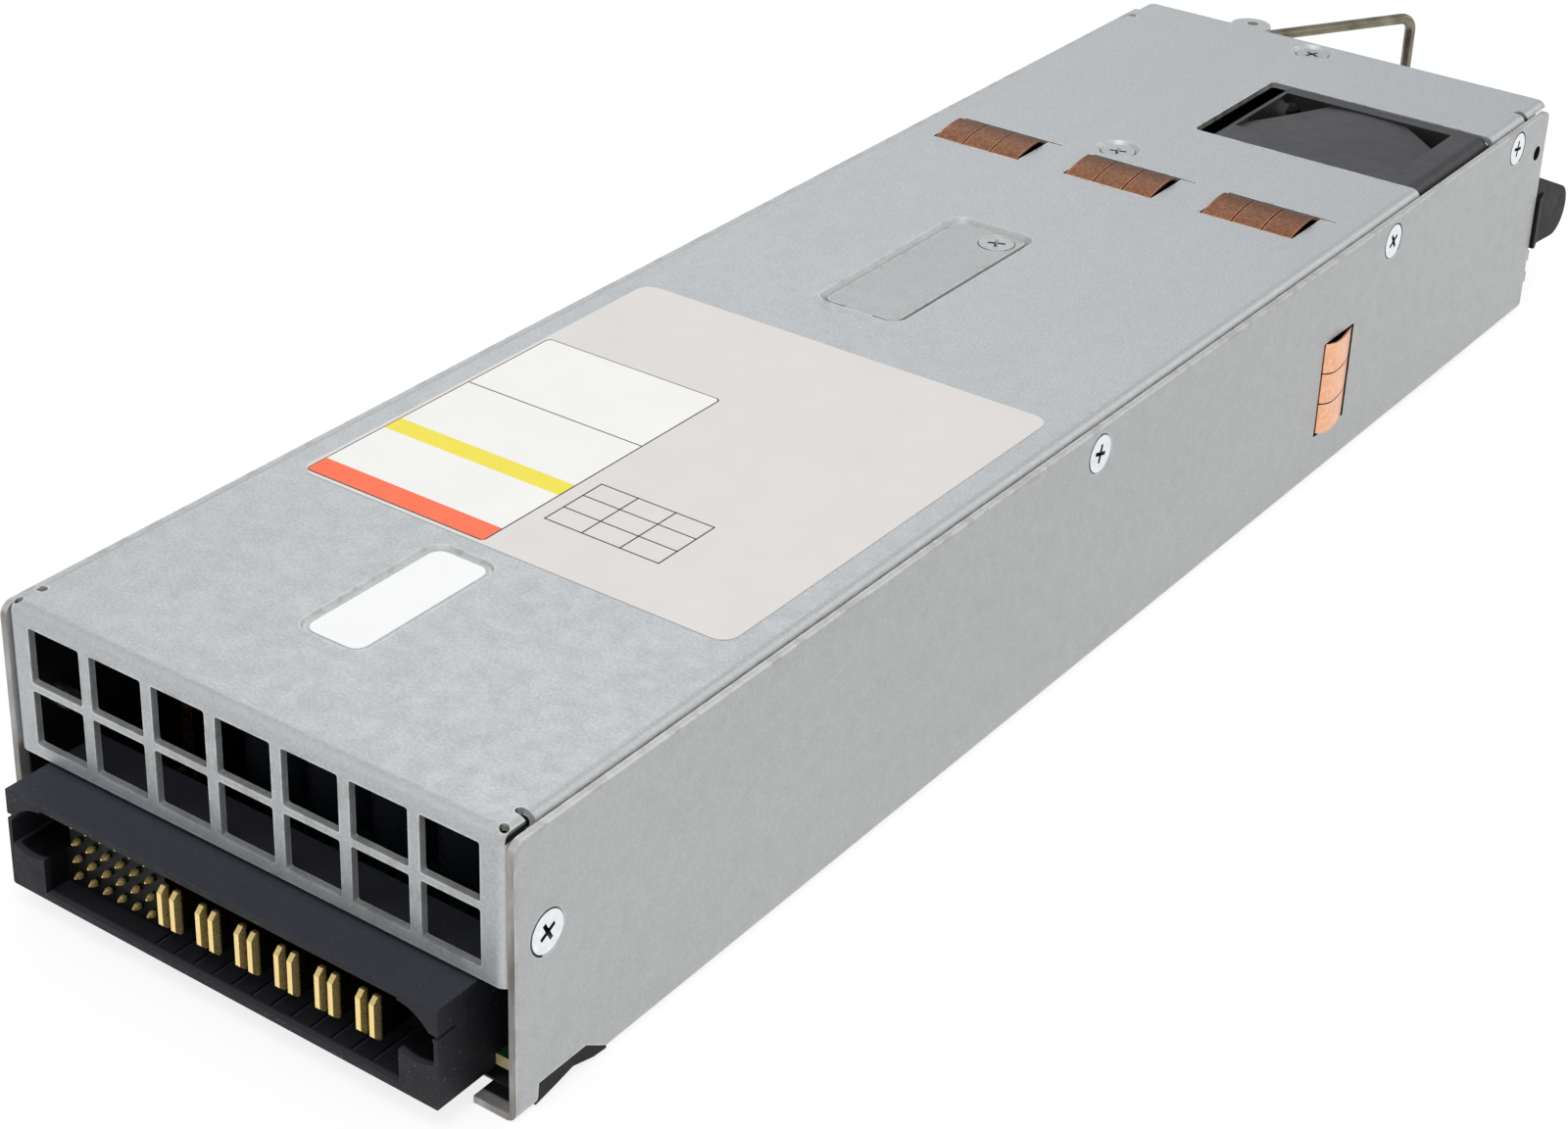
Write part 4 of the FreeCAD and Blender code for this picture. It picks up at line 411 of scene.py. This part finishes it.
# The two dark head materials are painted shade, in the screws' cross recesses and on their rim chamfers.
RECESS_PAINTED_SHADE = plated("head_shade", (0.10, 0.10, 0.105), (0.045, 0.045, 0.047), (0.35, 0.5))
DULL = plated("dull_zinc", (0.53, 0.55, 0.555), (0.44, 0.455, 0.46), (0.40, 0.52))
DULL_RECESS_PAINTED_SHADE = plated("dull_shade", (0.24, 0.245, 0.245), (0.15, 0.155, 0.155), (0.4, 0.55))
# Painted highlight: the top fingers' edges turn 2.6 times as light.
COPPER = plated("finger_copper", (0.20, 0.088, 0.045), (0.10, 0.042, 0.022), (0.30, 0.44), 1700, 2.6,
                0.45 * MM)
# The side fingers take a much paler copper than the top fingers.
PEACH = plated("finger_copper_pale", (0.97, 0.55, 0.35), (0.80, 0.42, 0.26), (0.28, 0.42), 1300)
GOLD = plated("contact_gold", (0.95, 0.70, 0.30), (0.78, 0.54, 0.20), (0.16, 0.28))
PIN_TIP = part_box("signal_pins")[0].y + 1.1 * MM
BLADE_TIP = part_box("power_blades")[0].y + 1.2 * MM
# The near-black shank colours are painted shade inside the connector.
PIN_GOLD = gilded("pin_gold", (0.007, 0.005, 0.002), (1.0, 0.78, 0.32), PIN_TIP)
BLADE_GOLD = gilded("blade_gold", (0.022, 0.013, 0.005), (1.0, 0.76, 0.32), BLADE_TIP)
BRASS = plated("turned_brass", (0.72, 0.56, 0.25), (0.55, 0.40, 0.16))
STEEL = plated("ground_steel", (0.66, 0.66, 0.65), (0.46, 0.46, 0.45))
BARE_COPPER = plated("bare_copper", (0.46, 0.23, 0.13), (0.28, 0.13, 0.07))
WINDING = plated("winding_copper", (0.16, 0.07, 0.035), (0.08, 0.035, 0.02))
WIRE = plated("bail_steel", (0.30, 0.27, 0.21), (0.15, 0.13, 0.09), (0.3, 0.45), 240)
ALUMINIUM = plated("sink_aluminium", (0.60, 0.61, 0.62), (0.46, 0.47, 0.48), (0.35, 0.5))
# Connector: tops lighter, partly dusting and partly painted light; the housing's mouth painted dark as shade.
CONNECTOR = moulded("connector_black", (0.012, 0.0125, 0.016), (0.46, 0.62), specular=0.22,
                    dust_and_top_light=0.5, top_dusting_and_light_gain=6.5, painted_shade="connector_housing")
# Fan: tops lighter, partly dusting and partly painted light.
FAN = moulded("fan_black", (0.019, 0.019, 0.021), (0.34, 0.5), dust_and_top_light=0.2)
INLET = moulded("inlet_black", (0.022, 0.022, 0.024))
SLEEVE = moulded("can_sleeve", (0.03, 0.035, 0.05), (0.2, 0.3))
EPOXY = moulded("package_epoxy", (0.02, 0.02, 0.02))
FERRITE = moulded("ferrite", (0.045, 0.045, 0.05), (0.5, 0.7), 900, 0.04 * MM)
TAPE = moulded("coil_tape", (0.55, 0.42, 0.08), (0.3, 0.45))
FILM_BOX = moulded("film_box", (0.34, 0.05, 0.04), (0.25, 0.35))
LATCH = moulded("latch_black", (0.009, 0.0095, 0.011), (0.50, 0.62), specular=0.2)
LEAD = moulded("lead_sleeve", (0.30, 0.03, 0.03), (0.3, 0.4))
INSULATION = moulded("insulating_film", (0.03, 0.03, 0.032), (0.3, 0.4))
BOARD = circuit_board("circuit_board")
GLASS = clear_piece("fuse_glass", (0.92, 0.95, 0.95), 0.04)
LENS = clear_piece("lamp_lens", (0.10, 0.11, 0.10), 0.3)

paint(COVER, "top_cover")
paint(HATCH, "hatch_plate")
paint(WALL, "chassis_tray")
paint(PANEL, "end_panel")
paint(BRIGHT, "side_screws", "cover_screws", "board_screws", "fuse_caps")
paint(COPPER, "top_contact_fingers")
paint(PEACH, "side_contact_fingers")
paint(CONNECTOR, "connector_housing")
paint(PIN_GOLD, "signal_pins")
paint(BLADE_GOLD, "power_blades")
paint(GOLD, "inlet_blades")
paint(BRASS, "board_standoffs")
paint(STEEL, "fan_shaft", "latch_pin", "latch_spring")
paint(BARE_COPPER, "bus_bars", "output_inductor_strap", "fan_motor")
paint(WINDING, "boost_choke_winding", "filter_choke_winding")
paint(WIRE, "wire_bail")
paint(ALUMINIUM, "primary_heat_sink", "secondary_heat_sink")
paint(FAN, "fan_frame", "fan_impeller")
paint(INLET, "mains_inlet")
paint(SLEEVE, "bulk_capacitors", "output_capacitors")
paint(EPOXY, "primary_transistors", "secondary_transistors", "bridge_rectifier", "control_chips")
paint(FERRITE, "transformer_core", "boost_choke_core", "filter_choke_core", "output_inductor_core")
paint(TAPE, "transformer_coil")
paint(FILM_BOX, "film_capacitors")
paint(LATCH, "latch_lever")
paint(LEAD, "fan_lead", "inlet_leads")
paint(INSULATION, "insulator_film")
paint(BOARD, "main_board", "control_board")
paint(GLASS, "fuse_glass")
paint(LENS, "status_lamp")


# ================================================================ mesh helpers
def add_piece(name, mesh_builder, *materials):
    """Object made from a bmesh, fixed to the case."""
    mesh = bpy.data.meshes.new(name)
    bmesh.ops.recalc_face_normals(mesh_builder, faces=mesh_builder.faces)
    mesh_builder.to_mesh(mesh)
    mesh_builder.free()
    for material in materials:
        mesh.materials.append(material)
    piece = bpy.data.objects.new(name, mesh)
    bpy.context.scene.collection.objects.link(piece)
    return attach(piece, "unit")


def rounded_outline(x0, x1, y0, y1, radius, steps=6):
    """Corner points of a rectangle with rounded corners."""
    points = []
    for cx, cy, start in ((x1 - radius, y1 - radius, 0), (x0 + radius, y1 - radius, 90),
                          (x0 + radius, y0 + radius, 180), (x1 - radius, y0 + radius, 270)):
        for step in range(steps + 1):
            angle = math.radians(start + 90 * step / steps)
            points.append((cx + radius * math.cos(angle), cy + radius * math.sin(angle)))
    return points


def pairs_round(items):
    """Each item with the next one, round a closed loop."""
    return zip(items, items[1:] + items[:1])


def bridge(builder, first, second):
    """Side faces between two loops of equal length."""
    for (near, near_next), (far, far_next) in zip(pairs_round(first), pairs_round(second)):
        builder.faces.new((near, near_next, far_next, far))


def slab_mesh(first_loop, second_loop):
    """Closed slab between two outlines of equal length, given as points in 3-D."""
    builder = bmesh.new()
    first = [builder.verts.new(point) for point in first_loop]
    second = [builder.verts.new(point) for point in second_loop]
    builder.faces.new(first[::-1])
    builder.faces.new(second)
    bridge(builder, first, second)
    return builder


def plate_mesh(outline, z, thickness):
    """Flat plate with a given outline, standing on z."""
    return slab_mesh([(x, y, z) for x, y in outline], [(x, y, z + thickness) for x, y in outline])


def islands(name):
    """(lowest, highest) corner of every separate solid in a CAD node."""
    mesh = frame["nodes"][name].data
    keys = [tuple(round(c, 6) for c in v.co) for v in mesh.vertices]
    parent = {key: key for key in keys}

    def top(key):
        while parent[key] != key:
            parent[key] = parent[parent[key]]
            key = parent[key]
        return key

    for polygon in mesh.polygons:
        corners = [top(keys[index]) for index in polygon.vertices]
        for corner in corners[1:]:
            parent[corner] = corners[0]
    groups = {}
    for key in parent:
        groups.setdefault(top(key), []).append(Vector(key))
    found = []
    for points in groups.values():
        low = Vector(min(p[axis] for p in points) for axis in range(3))
        high = Vector(max(p[axis] for p in points) for axis in range(3))
        found.append((low, high))
    return sorted(found, key=lambda pair: tuple(pair[0]))


# ================================================================ screws with cross recesses
HEAD_SIDES = 40
HEAD_RIM = 0.2 * MM
CROSS_ARM = 1.4 * MM
CROSS_HALF = 0.3 * MM
CROSS_DEPTH = 0.8 * MM
SHANK_SHARE = 0.47          # shank radius and head height, for a head radius of 1
FIRST_TURN, NEXT_TURN = 20, 47      # degrees, so that no two recesses line up


def cross_outline(reach, half):
    """Cross with arms of a given reach and half width, and filled inner corners."""
    corner = half * 1.35
    quarter = [(half, reach), (half, corner), (corner, half), (reach, half)]
    points = []
    for turn in range(4):
        angle = -turn * math.pi / 2
        for x, y in quarter:
            points.append((x * math.cos(angle) - y * math.sin(angle),
                           x * math.sin(angle) + y * math.cos(angle)))
    return points


def screw_mesh(radius, shank, head_height, length):
    """Countersunk screw pointing down from z = 0, with a tapered cross recess in its head."""
    builder = bmesh.new()

    def ring(size, z):
        angles = [2 * math.pi * i / HEAD_SIDES for i in range(HEAD_SIDES)]
        return [builder.verts.new((size * math.cos(a), size * math.sin(a), z)) for a in angles]

    top = ring(radius - HEAD_RIM, 0)
    rim = ring(radius, -HEAD_RIM)
    neck = ring(shank, -head_height)
    tip = ring(shank, -length)
    for first, second in ((top, rim), (rim, neck), (neck, tip)):
        bridge(builder, first, second)
    builder.faces.new(tip[::-1])
    mouth = [builder.verts.new((x, y, 0)) for x, y in cross_outline(CROSS_ARM, CROSS_HALF)]
    narrowed = cross_outline(CROSS_ARM * 0.55, CROSS_HALF * 0.7)
    floor = [builder.verts.new((x, y, -CROSS_DEPTH)) for x, y in narrowed]
    bridge(builder, mouth, floor)
    builder.faces.new(floor)
    # The cross recess and the rim chamfer take the second material, a painted shade.
    for face in builder.faces:
        recessed = all(vert in mouth or vert in floor for vert in face.verts)
        rim_painted_shade = all(vert in top or vert in rim for vert in face.verts)
        face.material_index = int(recessed or rim_painted_shade)
    loops = []
    for loop in (top, mouth):
        for ends in pairs_round(loop):
            loops.append(builder.edges.get(ends) or builder.edges.new(ends))
    bmesh.ops.triangle_fill(builder, edges=loops, use_beauty=True)
    return builder


def screws(node, label, head, recess, direction_of):
    """Replaces a CAD node of plain screws by one detailed screw for each of its solids."""
    for index, (low, high) in enumerate(islands(node)):
        direction = direction_of(low, high)
        axis = [abs(c) for c in direction].index(1.0)
        across = [a for a in range(3) if a != axis]
        centre = (low + high) / 2
        centre[axis] = high[axis] if direction[axis] > 0 else low[axis]
        radius = (high[across[0]] - low[across[0]]) / 2
        shank = radius * SHANK_SHARE
        builder = screw_mesh(radius, shank, shank, high[axis] - low[axis])
        turn = Z_AXIS.rotation_difference(direction)
        spin = Quaternion(Z_AXIS, math.radians(FIRST_TURN + NEXT_TURN * index))
        matrix = Matrix.Translation(centre) @ (turn @ spin).to_matrix().to_4x4()
        bmesh.ops.transform(builder, matrix=matrix, verts=builder.verts)
        add_piece(f"{label}_{index + 1}", builder, head, recess)
    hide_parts(node)


screws("side_screws", "wall_screw", BRIGHT, RECESS_PAINTED_SHADE, lambda low, high: X_AXIS if low.x > 0 else -X_AXIS)
screws("cover_screws", "cover_screw", DULL, DULL_RECESS_PAINTED_SHADE, lambda low, high: Z_AXIS)


# ================================================================ blank labels
FILM = 0.10 * MM
INK = 0.015 * MM

LABEL = printed_film("label_beige", (0.74, 0.70, 0.67))
WHITE = printed_film("label_white", (0.90, 0.89, 0.86))
DARK = printed_film("label_dark", (0.03, 0.03, 0.03))
ORANGE = printed_film("label_orange", (1.0, 0.150, 0.050))
YELLOW = printed_film("label_yellow", (0.90, 0.76, 0.045))


def film(name, material, x0, x1, y0, y1, level, radius=0.0):
    """Rounded or square plate of film; millimetres from the case's front, level counts ink layers."""
    outline = rounded_outline(x0 * MM, x1 * MM, FRONT + y0 * MM, FRONT + y1 * MM, max(radius, 0.05) * MM)
    thickness = FILM if level == 0 else INK
    z = TOP if level == 0 else TOP + FILM + (level - 1) * INK
    return add_piece(name, plate_mesh(outline, z, thickness), material)


PANEL_X = (-34.4, -3.9)
PANEL_Y = (47.5, 98.0)
ROWS = (56.7, 60.6, 64.6, 68.5)
COLUMNS = (-1.5, 4.6, 10.8, 17.0)
TABLE_X = (-1.5, 17.2)
TABLE_Y = (56.7, 68.7)
RULE = 0.22
PAPER, PRINT, PANEL_FILL, PANEL_PRINT = range(4)

film("label", LABEL, -35.2, 35.3, 46.7, 121.9, PAPER, 2.5)
film("label_panel_border", DARK, -34.6, -3.7, 47.3, 98.2, PRINT, 0.8)
film("label_panel", WHITE, *PANEL_X, *PANEL_Y, PANEL_FILL, 0.7)
film("label_orange_band", ORANGE, *PANEL_X, PANEL_Y[0], 51.3, PANEL_PRINT)
film("label_yellow_band", YELLOW, *PANEL_X, 62.7, 66.1, PANEL_PRINT)
for index, y in enumerate(ROWS):
    film(f"table_row_{index + 1}", DARK, *TABLE_X, y, y + RULE, PRINT)
for index, x in enumerate(COLUMNS):
    film(f"table_column_{index + 1}", DARK, x, x + RULE, *TABLE_Y, PRINT)
film("panel_line", DARK, *PANEL_X, 80.2, 80.4, PANEL_PRINT)


# ================================================================ black strips in the notches in the feet, painted shade
# Millimetres from the case's front and from the floor, round the strip.
NOTCH_SHADE_OUTLINE = ((3.95, 0.1), (4.3, 3.35), (12.6, 3.35), (17.0, 0.65), (17.0, 0.1), (14.6, 0.3), (10.8, 1.35),
                 (7.5, 0.7))
NOTCH_SHADE_INSET = 0.4 * MM
NOTCH_SHADE_THICKNESS = 0.5 * MM


def notch_shade_strip(side):
    """Curved black strip that fills the notch in one wall's lower edge, as painted shade."""
    outer = side * (TRAY_HIGH.x - NOTCH_SHADE_INSET)
    near, far = ([(x, FRONT + y * MM, z * MM) for y, z in NOTCH_SHADE_OUTLINE] for x in (outer, outer - side * NOTCH_SHADE_THICKNESS))
    return slab_mesh(near, far)


for side, name in ((1, "notch_shade_strip_right"), (-1, "notch_shade_strip_left")):
    add_piece(name, notch_shade_strip(side), LATCH)


# ================================================================ blank sticker in the small recess
RECESS_FLOOR = TOP - 0.5 * MM
sticker = rounded_outline(-7.5 * MM, 1.4 * MM, FRONT + 18.4 * MM, FRONT + 43.0 * MM, 1.8 * MM)
add_piece("recess_sticker", plate_mesh(sticker, RECESS_FLOOR, FILM), printed_film("sticker_white", (0.93, 0.93, 0.92)))


# ================================================================ floor, lamps and camera
FLOOR_HALF = 6.0            # half width in metres
FLOOR_GAP = 0.2 * MM
FLOOR_WHITE = 1.12          # strength of the white that the camera sees
FLOOR_BLEND = 0.72          # share of it, the rest is lit and keeps the shadow
SKY_LIGHT, SKY_SEEN = 0.55, 1.05


def pale_surface(name, strength):
    """White for the camera and reflections, while the surface keeps a soft shadow."""
    material, tree, surface = new_material(name, Roughness=0.9, Specular_IOR_Level=0.1)
    surface.inputs["Base Color"].default_value = (0.92, 0.92, 0.92, 1.0)
    emission = tree.nodes.new("ShaderNodeEmission")
    emission.inputs["Strength"].default_value = FLOOR_WHITE
    blend = tree.nodes.new("ShaderNodeMixShader")
    path = tree.nodes.new("ShaderNodeLightPath")
    seen = math_node(tree, "MAXIMUM", path.outputs["Is Camera Ray"], path.outputs["Is Glossy Ray"])
    seen = math_node(tree, "MAXIMUM", seen, path.outputs["Is Transmission Ray"])
    tree.links.new(math_node(tree, "MULTIPLY", seen, strength), blend.inputs[0])
    tree.links.new(surface.outputs[0], blend.inputs[1])
    tree.links.new(emission.outputs[0], blend.inputs[2])
    tree.links.new(blend.outputs[0], tree.nodes["Material Output"].inputs["Surface"])
    return material


def floor():
    builder = bmesh.new()
    bmesh.ops.create_grid(builder, x_segments=2, y_segments=2, size=FLOOR_HALF)
    mesh = bpy.data.meshes.new("floor")
    builder.to_mesh(mesh)
    builder.free()
    mesh.materials.append(pale_surface("floor_white", FLOOR_BLEND))
    piece = bpy.data.objects.new("floor", mesh)
    piece.location = (0, 0, CAD_BOX[0].z - FLOOR_GAP)
    bpy.context.scene.collection.objects.link(piece)


def world():
    environment = bpy.data.worlds.new("studio")
    bpy.context.scene.world = environment
    environment.use_nodes = True
    tree = environment.node_tree
    background = tree.nodes["Background"]
    background.inputs["Color"].default_value = (0.97, 0.985, 1.0, 1.0)
    path = tree.nodes.new("ShaderNodeLightPath")
    strength = remap(tree, path.outputs["Is Camera Ray"], SKY_LIGHT, SKY_SEEN, 0.0, 1.0)
    tree.links.new(strength, background.inputs["Strength"])


def soft_lamp(name, place_at, target, size, power):
    """Round area lamp; size in metres, power in watts."""
    light = bpy.data.lights.new(name, "AREA")
    light.shape = "DISK"
    light.size = size
    light.energy = power
    lamp = bpy.data.objects.new(name, light)
    lamp.location = place_at
    lamp.rotation_mode = "QUATERNION"
    lamp.rotation_quaternion = (Vector(target) - Vector(place_at)).to_track_quat("-Z", "Y")
    bpy.context.scene.collection.objects.link(lamp)


floor()
world()
soft_lamp("key", (0.35, -0.75, 1.75), (0, 0, 0), 1.1, 11.0)
soft_lamp("fill_back", (-0.8, 0.9, 1.3), (0, 0, 0), 1.2, 5.5)
soft_lamp("fill_right", (1.35, 0.25, 0.75), (0, 0, 0.02), 0.9, 1.8)
soft_lamp("fold_light", (0.85, 1.35, 0.95), (0, 0, 0.02), 0.7, 2.5)
soft_lamp("fill_front", (-0.3, -1.5, 0.7), (0, -0.1, 0.02), 0.8, 2.2)

CAMERA_AT = Vector((0.21779, -0.34897, 0.23232))
AZIMUTH, ELEVATION, ROLL = 35.99, 27.32, 1.42
LENS_MM = 70.14
SHIFT = (0.0448, -0.0937)
SENSOR_MM = 36.0
CLIP = (0.01, 20.0)

lens = bpy.data.cameras.new("camera")
lens.sensor_width = SENSOR_MM
lens.lens = LENS_MM
lens.shift_x, lens.shift_y = SHIFT
lens.clip_start, lens.clip_end = CLIP
camera = bpy.data.objects.new("camera", lens)
camera.location = CAMERA_AT
azimuth, elevation = math.radians(AZIMUTH), math.radians(ELEVATION)
look = Vector((-math.sin(azimuth) * math.cos(elevation), math.cos(azimuth) * math.cos(elevation),
               -math.sin(elevation)))
camera.rotation_mode = "QUATERNION"
camera.rotation_quaternion = look.to_track_quat("-Z", "Y") @ Quaternion(Z_AXIS, math.radians(ROLL))
bpy.context.scene.collection.objects.link(camera)
bpy.context.scene.camera = camera

bpy.context.scene.view_settings.view_transform = "Standard"
